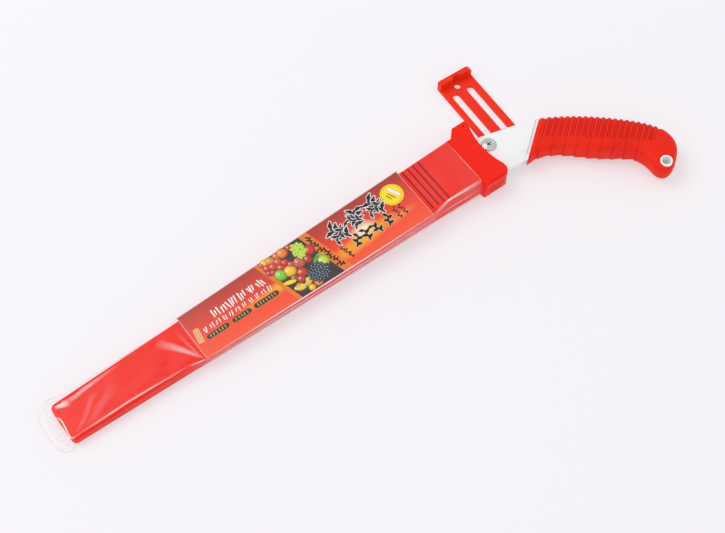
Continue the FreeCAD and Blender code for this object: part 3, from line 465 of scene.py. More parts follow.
def make_grip(material):
    """The CAD grip's outline, cut back between ribs, with its lanyard hole left open."""
    matrix = grip_matrix()
    turn = matrix.to_3x3()
    tree = surface_tree(NODES["grip"])
    centre = matrix @ TUBE_IN_GRIP
    axis = turn @ Vector((0, 0, 1))
    inverse = matrix.inverted()

    def hit(p, q, direction):
        start = matrix @ (Vector((p, q, 0)) * MM)
        found = tree.ray_cast(start, turn @ Vector(direction))[0]
        return inverse @ found / MM if found is not None else None

    def off_axis(point):
        arm = point - centre
        return (arm - axis * arm.dot(axis)).length

    ends = [hit(140, q / 2, (-1, 0, 0)) for q in range(-4, 50)]
    p_end = max(e.x for e in ends if e is not None) - 0.02
    stations = []
    p = GRIP_FRONT
    while p < p_end - END_LENGTH:
        stations.append(p)
        p += STATION_STEP
    stations += [p_end - END_LENGTH * (1 - i / 16) ** 2 for i in range(16)] + [p_end - 0.004]
    rings, painted_rib_shades = [], []
    for p in stations:
        high, low = hit(p, 70, (0, -1, 0)), hit(p, -70, (0, 1, 0))
        if high is None or low is None or high.y - low.y < 0.05:
            continue
        middle, half = (high.y + low.y) / 2, (high.y - low.y) / 2
        u = 0.9845 * p + 0.1754 * middle
        thick = 11.3 - (u - 51) ** 2 / 849
        left = max(0.0, p_end - p)
        if left < 6:
            thick *= max(0.02, 1 - (1 - left / 6) ** 2.4) ** (1 / 2.4)
        front = 0.9 * (1 - ease(GRIP_FRONT - 0.4, GRIP_FRONT + 1.4, p))
        ring = []
        for across, up, n_across, n_up in section(half - front, thick - front, SECTION_POINTS):
            sink = RIB_HEIGHT * (1 - rib_level(p, middle + across))
            sink *= ease(0, 3, left)
            q = middle + across
            # Painted shade at the ribs' feet: full on each rib's front edge, about half on its back edge,
            # less on the belly and fading at the ends.
            rise = rib_level(p + 0.35, q) - rib_level(p - 0.35, q)
            belly = 1 - ease(rib_end(p) - SHORT_RIB_BLEND, rib_end(p) + SHORT_RIB_BLEND, q)
            faded = ease(-1, 3.5, p) * (1 - 0.8 * ease(87.5, 89, p)) * (0.85 - 0.15 * belly)
            painted_rib_shades.append(min(1.0, max(rise, -0.55 * rise)) * faded)
            ring.append(matrix @ (Vector((p, middle + across - n_across * sink, up - n_up * sink)) * MM))
        rings.append(ring)
    points, faces = loft(rings, cap_start=True, cap_end=True)
    faces = [f for f in faces if len(f) > 4 or min(off_axis(points[i]) for i in f) > HOLE_RADIUS * MM]
    piece = new_piece("ribbed_grip", points, faces, [material], "saw")
    layer = piece.data.attributes.new("painted_rib_shade", "FLOAT", "POINT")
    layer.data.foreach_set("value", painted_rib_shades)
    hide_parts("grip")


# ------------------------------------------------------------------ film sleeve
FILM_TIP = -368.7
MOUTH_HALF, HALF_LOSS, SHELL_LENGTH = 22.2, 5.8, 357
EDGE_RADIUS, SHOULDER_RADIUS = 1.4, 1.65
# Pairs of (x, y), or (x, z) in TIP_TOP, for the film's edges: on its face, beside it and underneath.
TOP_MINUS = [(0, -21.9), (-31, -20.8), (-45, -23.6), (-75, -23.7), (-110, -23.2), (-247, -20.4),
             (-262, -17.2), (-310, -14.7), (-337, -14.8), (-354, -14.3), (-358, -15.2), (-363, -15.2),
             (-368.7, -11.4)]
TOP_PLUS = [(0, 21.4), (-31, 21.0), (-44, 21.3), (-46.6, 23.9), (-110, 23.0), (-247, 20.3),
            (-262, 18.4), (-310, 15.6), (-335, 13.6), (-352, 13.2), (-357, 15), (-363, 16.5),
            (-366.6, 14.5), (-368.7, 10)]
SIDE_PLUS = [(0, 22.9), (-43, 22.9), (-46.6, 24.3), (-110, 23.4), (-247, 21.2), (-300, 20.2),
             (-340, 20.2), (-350, 22.4), (-356, 23.8), (-362, 22), (-366.6, 18.2), (-368.7, 12.2)]
SIDE_MINUS = [(0, -24.8), (-31, -23.6), (-45, -23.9), (-110, -23.3), (-247, -20.5), (-262, -19.0),
              (-310, -17.6), (-350, -17.0), (-356.5, -18.6), (-361, -19.2), (-365.5, -17.6), (-368.7, -12.4)]
LOW_MINUS = [(0, -23.9), (-31, -22.0), (-45, -21.2), (-110, -20.2), (-250, -17.6), (-350, -15.8),
             (-361, -18.6), (-368.7, -12)]
TIP_TOP = [(-350, 8.8), (-356, 8.55), (-358.6, 7.8), (-361, 5.4), (-365, 3.5), (-368.7, 2.4)]


def film_top(x):
    return shell_top(x) + 0.58 if x > -350 else along(TIP_TOP, x)


def film_ripple(x, y):
    """Height of the film's soft wrinkles, larger over the bare tip and mouth than over the card."""
    amount = 0.03 + 0.2 * (1 - ease(-262, -250, x) + ease(-44, -38, x))
    wave = noise.noise(Vector((x / 16, y / 8, 2.0))) + 0.5 * noise.noise(Vector((x / 6, y / 5, 7.0)))
    return amount * wave


def film_shoulder(x, high):
    """Where the film lies round the shell's upper edge, from its face to its side, with y positive."""
    half = MOUTH_HALF + x * HALF_LOSS / SHELL_LENGTH
    turn_y, turn_z = half - EDGE_RADIUS, shell_top(x) - EDGE_RADIUS
    return [(turn_y + SHOULDER_RADIUS * math.cos(math.radians(angle)),
             min(high - 0.01 * i, turn_z + SHOULDER_RADIUS * math.sin(math.radians(angle))))
            for i, angle in enumerate((78, 55, 32, 8))]


def make_film(film, painted_light):
    rings = []
    stations = [-i * 1.5 for i in range(234)] + [-350 - 0.85 * i for i in range(23)]
    stations = sorted(set(s for s in stations if s >= FILM_TIP) | {FILM_TIP}, reverse=True)
    for x in stations:
        top = film_top(x)
        low = 0.15 + 1.3 * ease(-352, FILM_TIP, x) if x < -352 else 0.15
        a, b = along(TOP_MINUS, x), along(TOP_PLUS, x)
        side_plus, side_minus, low_minus = along(SIDE_PLUS, x), along(SIDE_MINUS, x), along(LOW_MINUS, x)
        round_off = min(0.7, (top - low) * 0.3)
        ring = [(a - round_off * 0.1, top - round_off), (a + round_off * 0.25, top - round_off * 0.25)]
        steps = 44
        for i in range(steps + 1):
            y = a + round_off + (b - a - 2 * round_off) * i / steps
            sides = min(1, i / 3, (steps - i) / 3)
            ring.append((y, top + film_ripple(x, y) * sides))
        ring += [(b - round_off * 0.25, top - round_off * 0.25), (b + round_off * 0.1, top - round_off)]
        middle = low + (top - low) * 0.42
        shoulder = film_shoulder(x, top - round_off)
        plus = [(max(b, y), z if y > b else top - round_off) for y, z in shoulder]
        minus = [(min(a, -y), z if -y < a else top - round_off) for y, z in shoulder]
        ring += plus
        for i in range(1, 7):
            part = i / 6
            ring.append((plus[-1][0] + (side_plus - plus[-1][0]) * ease(0, 1, part),
                         plus[-1][1] + (middle - plus[-1][1]) * part))
        for i in range(1, 5):
            part = i / 4
            ring.append((side_plus - 1.2 * part * part, middle - (middle - low) * part))
        steps = 24
        for i in range(1, steps):
            part = i / steps
            ring.append((side_plus - 1.2 + (low_minus + 1.2 - side_plus) * part, low))
        for i in range(0, 4):
            part = i / 4
            ring.append((low_minus + (side_minus - low_minus) * math.sin(part * math.pi / 2),
                         low + (middle - low) * part))
        for i in range(0, 6):
            part = i / 6
            ring.append((side_minus + (minus[-1][0] - side_minus) * part * part,
                         middle + (minus[-1][1] - middle) * part))
        ring += minus[::-1]
        rings.append([place(x, y, z) for y, z in ring])
    points, faces = loft(rings)
    sleeve = new_piece("film_sleeve_skin", points, faces, [film], "sheath")
    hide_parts("film_sleeve")
    make_glints(sleeve, painted_light)


# Painted light on the film: pale and cream painted highlights, and grey painted shade lines.
PAINTED_HIGHLIGHT_PALE, PAINTED_HIGHLIGHT_CREAM, PAINTED_SHADE_GREY = (1.0, 0.97, 0.96), (1.0, 0.78, 0.66), (0.55, 0.53, 0.53)


def spread(table_y, x0, x1, step, height=None):
    """Points along the film from x0 to x1 at the y of a table, on its top or at a height."""
    count = max(2, int(abs(x1 - x0) / step) + 1)
    xs = [x0 + (x1 - x0) * i / (count - 1) for i in range(count)]
    return [(x, along(table_y, x), height) for x in xs]


def on_face(*spots):
    return [(x, y, None) for x, y in spots]


def glint_paths():
    """(points, half width at start and end, strength at start and end, colour) of each painted highlight or
    painted shade line on the film's folds, hems and edges.

    A point is (x, y, z). z is None on the film's face; y is ("side", part of its height) on the -Y side.
    """
    inner = [(x, y + 0.35) for x, y in TOP_MINUS]
    s_line = [(-358.9, 6.4), (-357.8, 5.9), (-356.7, 5.1), (-356.0, 3.9), (-355.6, 2.0), (-355.6, 0.0),
              (-355.8, -2.3), (-356.1, -5.4), (-356.5, -8.5), (-356.9, -11.2), (-357.0, -12.8),
              (-356.4, -13.8), (-355.2, -14.2), (-353.5, -14.3), (-350, -14.4)]
    paths = [
        (on_face(*s_line), 0.8, 0.8, 1.0, 0.95, PAINTED_HIGHLIGHT_PALE),
        (spread(inner, -350, -262, 4), 1.1, 1.0, 0.7, 0.5, PAINTED_HIGHLIGHT_PALE),
        (spread(inner, -262, -247, 3), 0.8, 0.4, 0.45, 0.75, PAINTED_HIGHLIGHT_PALE),
        (spread(inner, -247, -47, 5), 0.5, 0.6, 0.9, 1.0, PAINTED_HIGHLIGHT_PALE),
        (spread(inner, -47, -0.3, 3), 0.8, 1.5, 0.95, 1.0, PAINTED_HIGHLIGHT_CREAM),
        (on_face((-354.5, 13.4), (-352, 12.9), (-349.5, 12.2), (-347, 11.4), (-344, 11.0)),
         2.6, 3.6, 1.0, 0.85, PAINTED_HIGHLIGHT_PALE),
        (on_face((-345, 11.2), (-338, 12.2), (-328, 13.0), (-316, 13.7), (-300, 14.6)),
         3.2, 1.4, 0.75, 0.15, PAINTED_HIGHLIGHT_PALE),
        (on_face((-351, -12), (-344, -8.2), (-337, -3.0), (-331, 2.6), (-326, 7.4)),
         1.6, 3.2, 0.16, 0.10, PAINTED_HIGHLIGHT_PALE),
        (on_face((-344, -13), (-334, -8.5), (-324, -3.0), (-312, 4.6)), 2.5, 5.0, 0.06, 0.10, PAINTED_HIGHLIGHT_PALE),
        (on_face((-249.6, -18.3), (-252.5, -13), (-256.5, -6.5), (-261, 0), (-266, 6.5), (-271, 11.5)),
         0.8, 4.6, 0.6, 0.25, PAINTED_HIGHLIGHT_PALE),
        (on_face((-249.6, -18.3), (-251.5, -10), (-253, 0), (-254.5, 12)), 0.3, 2.6, 0.28, 0.05, PAINTED_HIGHLIGHT_PALE),
        ([(-0.5, y, None) for y in range(-21, 22, 3)], 0.28, 0.22, 0.7, 0.4, PAINTED_HIGHLIGHT_PALE),
        ([(-248.4, y, None) for y in range(-20, 21, 4)], 0.16, 0.16, 0.7, 0.4, PAINTED_HIGHLIGHT_PALE),
        (spread(SIDE_PLUS, -356, -262, 5, 3.6), 0.35, 0.3, 0.8, 0.5, PAINTED_SHADE_GREY),
    ]
    for x0, x1, level, half, strength, colour in (
            (-353, -262, 0.05, 0.4, 0.55, PAINTED_HIGHLIGHT_PALE), (-247, -50, 0.74, 0.8, 0.75, PAINTED_HIGHLIGHT_PALE),
            (-247, -47, 0.52, 0.5, 0.6, PAINTED_SHADE_GREY), (-247, -20, 0.36, 0.8, 0.75, PAINTED_HIGHLIGHT_PALE),
            (-247, -47, 0.2, 0.5, 0.5, PAINTED_SHADE_GREY), (-262, -3, 0.05, 0.7, 0.8, PAINTED_HIGHLIGHT_CREAM),
            (-44, -3, 0.66, 0.8, 0.6, PAINTED_HIGHLIGHT_CREAM), (-40, -0.6, 0.22, 0.6, 0.5, PAINTED_HIGHLIGHT_PALE)):
        count = int((x1 - x0) / 4) + 1
        path = [(x0 + (x1 - x0) * i / (count - 1), ("side", level), None) for i in range(count)]
        paths.append((path, half, half, strength, strength, colour))
    return paths


def make_glints(sleeve, painted_light):
    """Ribbons just off the film, clear at their edges: painted highlights and painted shade lines for its
    folds, hems and edges.
    """
    tree = surface_tree(sleeve)
    down, sideways = Vector((0, 0, -1)), Vector((0, 1, 0))
    points, faces, colours = [], [], []
    across = ((-1, 0.0), (-0.5, 0.7), (0, 1.0), (0.5, 0.7), (1, 0.0))

    def on_film(spot, direction, off):
        hit = tree.ray_cast(spot - direction * 60 * MM, direction)[0]
        return (hit if hit is not None else spot) - direction * off * MM

    def ribbon(spots, normals, halves, strengths, colour):
        first = len(points)
        for i, spot in enumerate(spots):
            ahead = (spots[min(i + 1, len(spots) - 1)] - spots[max(i - 1, 0)]).normalized()
            side = ahead.cross(normals[i]).normalized()
            part = i / (len(spots) - 1)
            half = (halves[0] + (halves[1] - halves[0]) * part) * MM
            strength = strengths[0] + (strengths[1] - strengths[0]) * part
            ends = min(1.0, 2.5 * i / (len(spots) - 1) + 0.15, 2.5 * (1 - part) + 0.15)
            for at, share in across:
                points.append(on_film(spot + side * half * at, -normals[i], 0.05))
                colours.append((*colour, strength * share * ends))
        for i in range(len(spots) - 1):
            for j in range(4):
                a = first + 5 * i + j
                faces.append((a, a + 1, a + 6, a + 5))

    for path, half0, half1, strength0, strength1, colour in glint_paths():
        spots, normals = [], []
        for x, y, z in path:
            if isinstance(y, tuple):
                height = 0.3 + (film_top(x) - 1.0) * y[1]
                spots.append(on_film(place(x, -20, height), sideways, 0.0))
                normals.append(-sideways)
            elif z is None:
                spots.append(on_film(place(x, y, 20), down, 0.0))
                normals.append(-down)
            else:
                spots.append(place(x, y, z))
                normals.append(-down)
        ribbon(spots, normals, (half0, half1), (strength0, strength1), colour)

    # Painted shade line round the film's tip end with a painted highlight just inside it, then short painted
    # highlight and shade strokes for the wrinkles at the tip.
    rng = random.Random(8)
    outline = [(x, along(SIDE_PLUS, x)) for x in range(-350, -368, -2)]
    outline += [(FILM_TIP + 0.1, y) for y in range(12, -13, -3)]
    outline += [(x, along(SIDE_MINUS, x)) for x in range(-367, -355, 2)]
    rim = [place(x, y, 2.4) for x, y in outline]
    ribbon(rim, [-down] * len(rim), (0.25, 0.25), (0.6, 0.7), PAINTED_SHADE_GREY)
    inner_rim = [r + Vector((1.0, -0.2, 0)) * MM for r in rim]
    ribbon(inner_rim, [-down] * len(rim), (0.35, 0.35), (0.4, 0.6), PAINTED_HIGHLIGHT_PALE)
    for i in range(16):
        x, y = rng.uniform(-368, -359.5), rng.uniform(-17, -6)
        turn, length = rng.uniform(0, math.pi), rng.uniform(2, 5)
        bend = rng.uniform(-0.8, 0.8)
        spots = []
        for j in range(6):
            part = j / 5 - 0.5
            spots.append(on_film(place(x + length * part * math.cos(turn + bend * part),
                                       y + length * part * math.sin(turn + bend * part), 9), down, 0.0))
        ribbon(spots, [-down] * 6, (0.3, 0.15), (0.75, 0.3), PAINTED_HIGHLIGHT_PALE if i % 3 else PAINTED_SHADE_GREY)
    piece = new_piece("film_painted_lights", points, faces, [painted_light], "sheath")
    layer = piece.data.attributes.new("glint", "FLOAT_COLOR", "POINT")
    layer.data.foreach_set("color", [value for colour in colours for value in colour])


# ------------------------------------------------------------------ generic print on the card
WHITE, BLACK, YELLOW = (0.93, 0.92, 0.88), (0.012, 0.01, 0.012), (0.95, 0.72, 0.01)
ORANGE = (0.85, 0.20, 0.02)


class Sheet:
    """Flat printed shapes just above the card; s runs from its tip end and t across it."""

    def __init__(self):
        self.points, self.faces, self.inks = [], [], []

    def polygon(self, outline, ink, lift):
        first = len(self.points)
        for s, t in outline:
            x = CARD_END_X + s
            self.points.append(place(x, t, shell_top(x) + 0.35 + 0.015 + 0.009 * lift))
        self.faces.append(tuple(range(first, first + len(outline))))
        self.inks.append(ink)

    def disc(self, s, t, r, ink, lift, squeeze=1.0, turn=0.0, count=22, scallop=0.0):
        outline = []
        for i in range(count):
            a = 2 * math.pi * i / count
            reach = r * (1 + (scallop if i % 2 else 0))
            x, y = reach * math.cos(a), reach * squeeze * math.sin(a)
            outline.append((s + x * math.cos(turn) - y * math.sin(turn),
                            t + x * math.sin(turn) + y * math.cos(turn)))
        self.polygon(outline, ink, lift)

    def ball(self, s, t, r, ink, lift, squeeze=1.0, turn=0.0):
        """A round fruit: darker rim, body, and a soft light spot towards the upper left."""
        self.disc(s, t, r, tuple(c * 0.35 for c in ink), lift, squeeze, turn)
        self.disc(s - 0.06 * r, t + 0.06 * r, r * 0.9, tuple(c * 0.75 for c in ink), lift + 1, squeeze, turn)
        self.disc(s - 0.14 * r, t + 0.14 * r, r * 0.7, ink, lift + 2, squeeze, turn)
        light = tuple(c + (1 - c) * 0.35 for c in ink)
        self.disc(s - 0.3 * r, t + 0.32 * r, r * 0.32, light, lift + 3, squeeze, turn, 12)

    def bar(self, s0, t0, s1, t1, wide_a, wide_b, ink, lift):
        """A stroke from one point to another, with its width at each end and rounded ends."""
        length = max(1e-6, math.hypot(s1 - s0, t1 - t0))
        ds, dt = (s1 - s0) / length, (t1 - t0) / length
        outline = []
        for cs, ct, wide, start in ((s1, t1, wide_b, -90), (s0, t0, wide_a, 90)):
            for i in range(6):
                a = math.radians(start + 36 * i)
                along_s, across = math.cos(a) * wide / 2, math.sin(a) * wide / 2
                outline.append((cs + ds * along_s - dt * across, ct + dt * along_s + ds * across))
        self.polygon(outline, ink, lift)

    def twig(self, s, t, size, turn, leaves, ink, outline_ink, outline_wide, lift, bold=1.0):
        """A generic twig with leaves, in one ink, with an outline in another."""
        strokes = [(-0.5, 0, 0.5, 0, 0.11, 0.08)]
        for i in range(leaves):
            at = -0.36 + 0.8 * i / max(1, leaves - 1)
            side = 1 if i % 2 else -1
            strokes.append((at, 0, at + 0.16, side * 0.20, 0.08, 0.16))
            strokes.append((at + 0.16, side * 0.20, at + 0.24, side * 0.42, 0.20, 0.06))
        cos, sin = math.cos(turn), math.sin(turn)
        for layer, (extra, colour) in enumerate(((outline_wide, outline_ink), (0.0, ink))):
            if colour is None:
                continue
            for x0, y0, x1, y1, w0, w1 in strokes:
                a = (s + size * (x0 * cos - y0 * sin), t + size * (x0 * sin + y0 * cos))
                b = (s + size * (x1 * cos - y1 * sin), t + size * (x1 * sin + y1 * cos))
                self.bar(*a, *b, w0 * size * bold + extra, w1 * size * bold + extra, colour, lift + layer)


def slanted(s_at_top, t):
    """The cross bands lean: their edges move towards the mouth going to -Y."""
    return s_at_top + 0.27 * (21.6 - t)


def card_edge(s):
    return 20.0 + 3.7 * s / 201 - 0.15


def band(sheet, first, last, ink, lift):
    corners = []
    for at, side in ((first, 1), (last, 1), (last, -1), (first, -1)):
        s = slanted(at, side * 21.6)
        corners.append((slanted(at, side * card_edge(s)), side * card_edge(s)))
    sheet.polygon(corners, ink, lift)


def draw_fruit(sheet, rng):
    band(sheet, 71.4, 108.2, (0.03, 0.02, 0.022), 0)
    red, orange, yellow = (0.72, 0.03, 0.015), (0.95, 0.24, 0.012), (1.0, 0.56, 0.01)
    green, lime, plum = (0.25, 0.62, 0.02), (0.55, 0.78, 0.04), (0.022, 0.055, 0.085)
    fruits = (
        (76, 19.0, 3.0, yellow), (80.5, 18.0, 3.4, (0.8, 0.3, 0.02)), (91.4, 18.0, 4.0, orange),
        (98.0, 19.0, 2.6, red), (75.5, 14.0, 3.2, red), (79.8, 12.6, 3.2, (0.7, 0.05, 0.03)),
        (85.0, 14.0, 3.0, (0.75, 0.1, 0.02)), (84.2, 8.5, 3.4, red), (88.6, 10.4, 2.8, red),
        (109.0, 8.2, 4.2, red), (104.0, 2.6, 3.4, (0.5, 0.03, 0.02)), (73.6, 18.6, 2.4, (0.7, 0.08, 0.02)),
        (86.5, 18.8, 2.8, (0.75, 0.2, 0.02)), (74.6, 9.6, 2.6, (0.55, 0.03, 0.02)),
        (91.5, 6.6, 2.4, (0.6, 0.1, 0.02)), (77.2, 8.6, 2.2, red), (100.5, 7.6, 2.2, (0.2, 0.4, 0.03)),
        (87.2, -4.6, 2.8, (0.35, 0.12, 0.02)), (94.6, -13.4, 2.8, red), (93.2, -18.6, 2.6, yellow),
        (80.6, 3.6, 4.9, green), (88.0, 2.2, 4.7, yellow), (94.4, -3.8, 3.9, red),
        (91.0, -8.0, 3.2, (0.55, 0.05, 0.02)), (112.2, -5.6, 4.6, lime), (99.5, -17.6, 3.2, orange),
        (86.5, -13.0, 3.4, orange), (97.5, 4.2, 4.4, (0.70, 0.16, 0.08)))
    for s, t, r, ink in fruits:
        sheet.ball(s, t, r * 1.06, ink, 2)
    for i in range(14):
        a = 2.4 * i
        sheet.disc(97.5 + 0.9 * math.sqrt(i) * math.cos(a), 4.2 + 0.9 * math.sqrt(i) * math.sin(a), 0.5,
                   (0.5, 0.01, 0.02), 7, count=8)
    sheet.disc(108.5, -1.5, 3.6, (0.12, 0.38, 0.03), 3, 0.5, 0.6)
    sheet.disc(113, 0.2, 3.0, (0.2, 0.5, 0.05), 3, 0.45, -0.4)
    for i in range(30):
        a, reach = 2.4 * i, 1.25 * math.sqrt(i)
        sheet.ball(102.5 + 0.75 * reach * math.cos(a), 12.6 + reach * math.sin(a),
                   rng.uniform(1.2, 1.5), lime, 4 + 0.12 * i)
    for i in range(46):
        a, reach = 2.4 * i, 1.35 * math.sqrt(i)
        sheet.ball(104.5 + 0.95 * reach * math.cos(a), -11.2 + 0.85 * reach * math.sin(a),
                   rng.uniform(1.2, 1.6), plum, 4 + 0.12 * i)
    for start, (s, t, r) in enumerate(((88.5, -14.5, 6.0), (91.5, -15.5, 4.4))):
        for i in range(9):
            a = math.radians(-150 + 17 * i + 8 * start)
            sheet.ball(s + r * math.cos(a), t + 2.5 + r * 0.8 * math.sin(a) + 2, 1.7, (1.0, 0.70, 0.012), 5)
    sheet.disc(82.3, -5.4, 5.0, (1.0, 0.70, 0.012), 5, 0.34, -0.3)


def draw_card(sheet):
    rng = random.Random(4)
    draw_fruit(sheet, rng)
    band(sheet, 108.2, 115.6, ORANGE, 1)
    band(sheet, 68.0, 71.4, ORANGE, 1)
    for i in range(6):
        t = 14.5 - 6 * i
        sheet.twig(slanted(111.9, t), t, 5.2, 1.35 + 0.5 * (i % 3), 4, (0.06, 0.02, 0.01), None, 0, 3, 1.7)
    # round seal with a scalloped edge
    sheet.disc(186.1, 9.3, 9.0, YELLOW, 1, count=88, scallop=0.035)
    sheet.disc(186.1, 9.3, 8.1, (0.72, 0.45, 0.01), 2, count=48)
    sheet.disc(186.1, 9.3, 7.8, (1.0, 0.78, 0.004), 3, count=48)
    sheet.bar(186.8, 14.6, 190.4, 6.6, 3.1, 3.1, (0.75, 0.55, 0.02), 4)
    sheet.bar(186.8, 14.6, 190.4, 6.6, 2.5, 2.5, WHITE, 5)
    for offset, length in ((0.0, 7), (2.0, 5)):
        s, t = 184.0 - offset, 11.6 - offset / 2
        sheet.bar(s, t, s + 0.38 * length, t - length * 0.85, 0.8, 0.8, (0.2, 0.12, 0.01), 4)
    # three large twigs, black with a white outline, and four smaller ones with a pale orange outline
    for s, t, size, turn in ((170.5, 8.0, 15.5, 1.9), (151.5, 8.6, 15.0, 1.1), (136.0, 5.6, 16.0, 2.2)):
        sheet.twig(s, t, size, turn, 7, BLACK, WHITE, 1.2, 2)
        sheet.twig(s - 1, t, size * 0.75, turn + 1.5, 4, BLACK, WHITE, 1.2, 4)
    for s, t, turn in ((171.0, -7.2, 1.2), (160.5, -7.6, 2.0), (151.0, -7.6, 1.5), (142.0, -7.6, 0.9)):
        sheet.twig(s, t, 9.0, turn, 4, BLACK, (0.98, 0.8, 0.5), 0.6, 6, 1.5)
    for s, t in ((184.6, -3.6), (185.8, -8.6), (179.8, -3.4), (180.2, -9.0), (129.4, -6.4), (130.8, -10.6),
                 (131.8, -14.4)):
        sheet.twig(s, t, 4.2, 1.6, 3, (0.10, 0.02, 0.015), None, 0, 2, 1.7)
    # two rows of white dashes
    for i in range(6):
        s = 64.0 - 7.7 * i
        for j in range(3):
            lean = rng.uniform(-1.2, 1.2)
            sheet.bar(s - 2.4 + 2.2 * j, 10.4 - rng.uniform(0, 2.0),
                      s - 2.2 + 2.2 * j + lean, 3.4 + rng.uniform(0, 2.4), 1.25, 0.9, WHITE, 2)
    for i in range(11):
        s = 68.0 - 5.6 * i
        for j in range(2):
            sheet.bar(s - 1.0 + 2.0 * j, 2.0 - rng.uniform(0, 1), s - 1.4 + 2.0 * j + rng.uniform(-0.8, 0.8),
                      -2.6 + rng.uniform(0, 1), 0.85, 0.65, WHITE, 2)
    # three dark capsules with an orange rim
    for s0, s1 in ((71.6, 50.0), (47.6, 31.0), (28.4, 9.0)):
        sheet.bar(s0 - 2.2, -6.5, s1 + 2.2, -6.5, 5.0, 5.0, (0.85, 0.25, 0.03), 2)
        sheet.bar(s0 - 2.2, -6.5, s1 + 2.2, -6.5, 4.3, 4.3, (0.04, 0.02, 0.02), 3)
        count = int((s0 - s1 - 4) / 2.3)
        for i in range(count):
            s = s0 - 3.4 - i * (s0 - s1 - 6.8) / max(1, count - 1)
            sheet.bar(s, -5.5, s + rng.uniform(-0.5, 0.5), -7.5, 0.75, 0.6, (0.85, 0.4, 0.05), 4)
    # small stamp near the tip end
    corners = [(4.0, 4.6), (8.0, 4.0), (6.2, -7.4), (2.2, -6.8)]
    sheet.polygon(corners, (0.88, 0.33, 0.10), 1)
    for (s0, t0), (s1, t1) in zip(corners, corners[1:] + corners[:1]):
        sheet.bar(s0, t0, s1, t1, 0.5, 0.5, (0.98, 0.55, 0.25), 2)
    for i in range(4):
        sheet.twig(5.6 - 0.4 * i, 2.9 - 2.8 * i, 2.6, 1.5, 3, (1.0, 0.8, 0.5), None, 0, 2, 1.6)
    # pale strips round the card's edges
    wear = 0.22
    for side in (1, -1):
        sheet.polygon([(1, side * card_edge(1)), (200, side * card_edge(200)),
                       (200, side * (card_edge(200) - wear)), (1, side * (card_edge(1) - wear))],
                      (0.80, 0.45, 0.38), 2)
    for s in (0.2, 200.5):
        edge = card_edge(s)
        sheet.polygon([(s, edge), (s + 0.25, edge), (s + 0.25, -edge), (s, -edge)], (0.85, 0.62, 0.58), 2)


def make_label_print(material):
    sheet = Sheet()
    draw_card(sheet)
    piece = new_piece("label_print", sheet.points, sheet.faces, [material], "sheath", smooth=False)
    layer = piece.data.attributes.new("ink", "FLOAT_COLOR", "FACE")
    layer.data.foreach_set("color", [c for ink in sheet.inks for c in (*ink, 1.0)])


# ------------------------------------------------------------------ collar details
HEEL_RIB_COUNT, HEEL_RIB_FIRST, HEEL_RIB_PITCH = 13, 3.0, 1.15
GROOVE_COUNT, GROOVE_FIRST, GROOVE_PITCH, GROOVE_HALF = 4, 28.6, 5.0, 1.08


def make_heel_ribs(material, dark):
    """Fine upright ribs for the thumb on the collar's -Y flank, with a strip of painted shade in the gap
    after each, and a thin dark line above them.
    """
    tree = surface_tree(NODES["mouth_collar"])
    points, faces, indexes = [], [], []
    for k in range(HEEL_RIB_COUNT):
        x = HEEL_RIB_FIRST + HEEL_RIB_PITCH * k
        ring = []
        for z in (1.2 + 0.65 * i for i in range(20)):
            hit = tree.ray_cast(place(x, -40, z), Vector((0, 1, 0)))[0]
            if hit is not None:
                ring.append((z, (hit.y - ORIGIN.y) / MM))
        first = len(points)
        for i, (z, y) in enumerate(ring):
            proud = 0.34 * min(1, i / 2, (len(ring) - 1 - i) / 2)
            points += [place(x + side, y + off, z)
                       for side, off in ((-0.42, 0.08), (-0.12, -proud), (0.12, -proud), (0.42, 0.08))]
        for i in range(len(ring) - 1):
            for j in range(3):
                a = first + 4 * i + j
                faces.append((a, a + 1, a + 5, a + 4))
                indexes.append(0)
        # Painted shade: a dark strip in the gap after each rib.
        first = len(points)
        for z, y in ring:
            points += [place(x + 0.49, y - 0.03, z), place(x + 0.67, y - 0.03, z)]
        faces += strip_faces(first, len(ring))
        indexes += [1] * (len(ring) - 1)
    first = len(points)
    steps = 16
    for i in range(steps + 1):
        part = i / steps
        x, y = 4.2 + 14.3 * part, -27.2 - 0.75 * part
        hit = tree.ray_cast(place(x, y + 0.5, 40), Vector((0, 0, -1)))[0]
        z = (hit.z / MM + 0.03) if hit is not None else 19.6
        points += [place(x, y + 0.62, z), place(x, y + 0.36, z)]
    faces += strip_faces(first, steps + 1)
    indexes += [1] * steps
    piece = new_piece("heel_ribs", points, faces, [material, dark], "sheath", indexes)


def make_groove_floors(dark):
    """The floors of the front shell's cross grooves near the mouth, where little light reaches."""
    tree = surface_tree(NODES["sheath_front_shell"])
    points, faces = [], []
    for k in range(GROOVE_COUNT):
        x = -GROOVE_FIRST - GROOVE_PITCH * k
        first = len(points)
        for i in range(41):
            y = -18.4 + 40.4 * i / 40
            hit = tree.ray_cast(place(x, y, 40), Vector((0, 0, -1)))[0]
            if hit is not None and hit.z / MM > 10:
                z = hit.z / MM + 0.03
                points += [place(x - GROOVE_HALF, y, z), place(x + GROOVE_HALF, y, z)]
        faces += strip_faces(first, (len(points) - first) // 2)
    piece = new_piece("groove_floors", points, faces, [dark], "sheath")


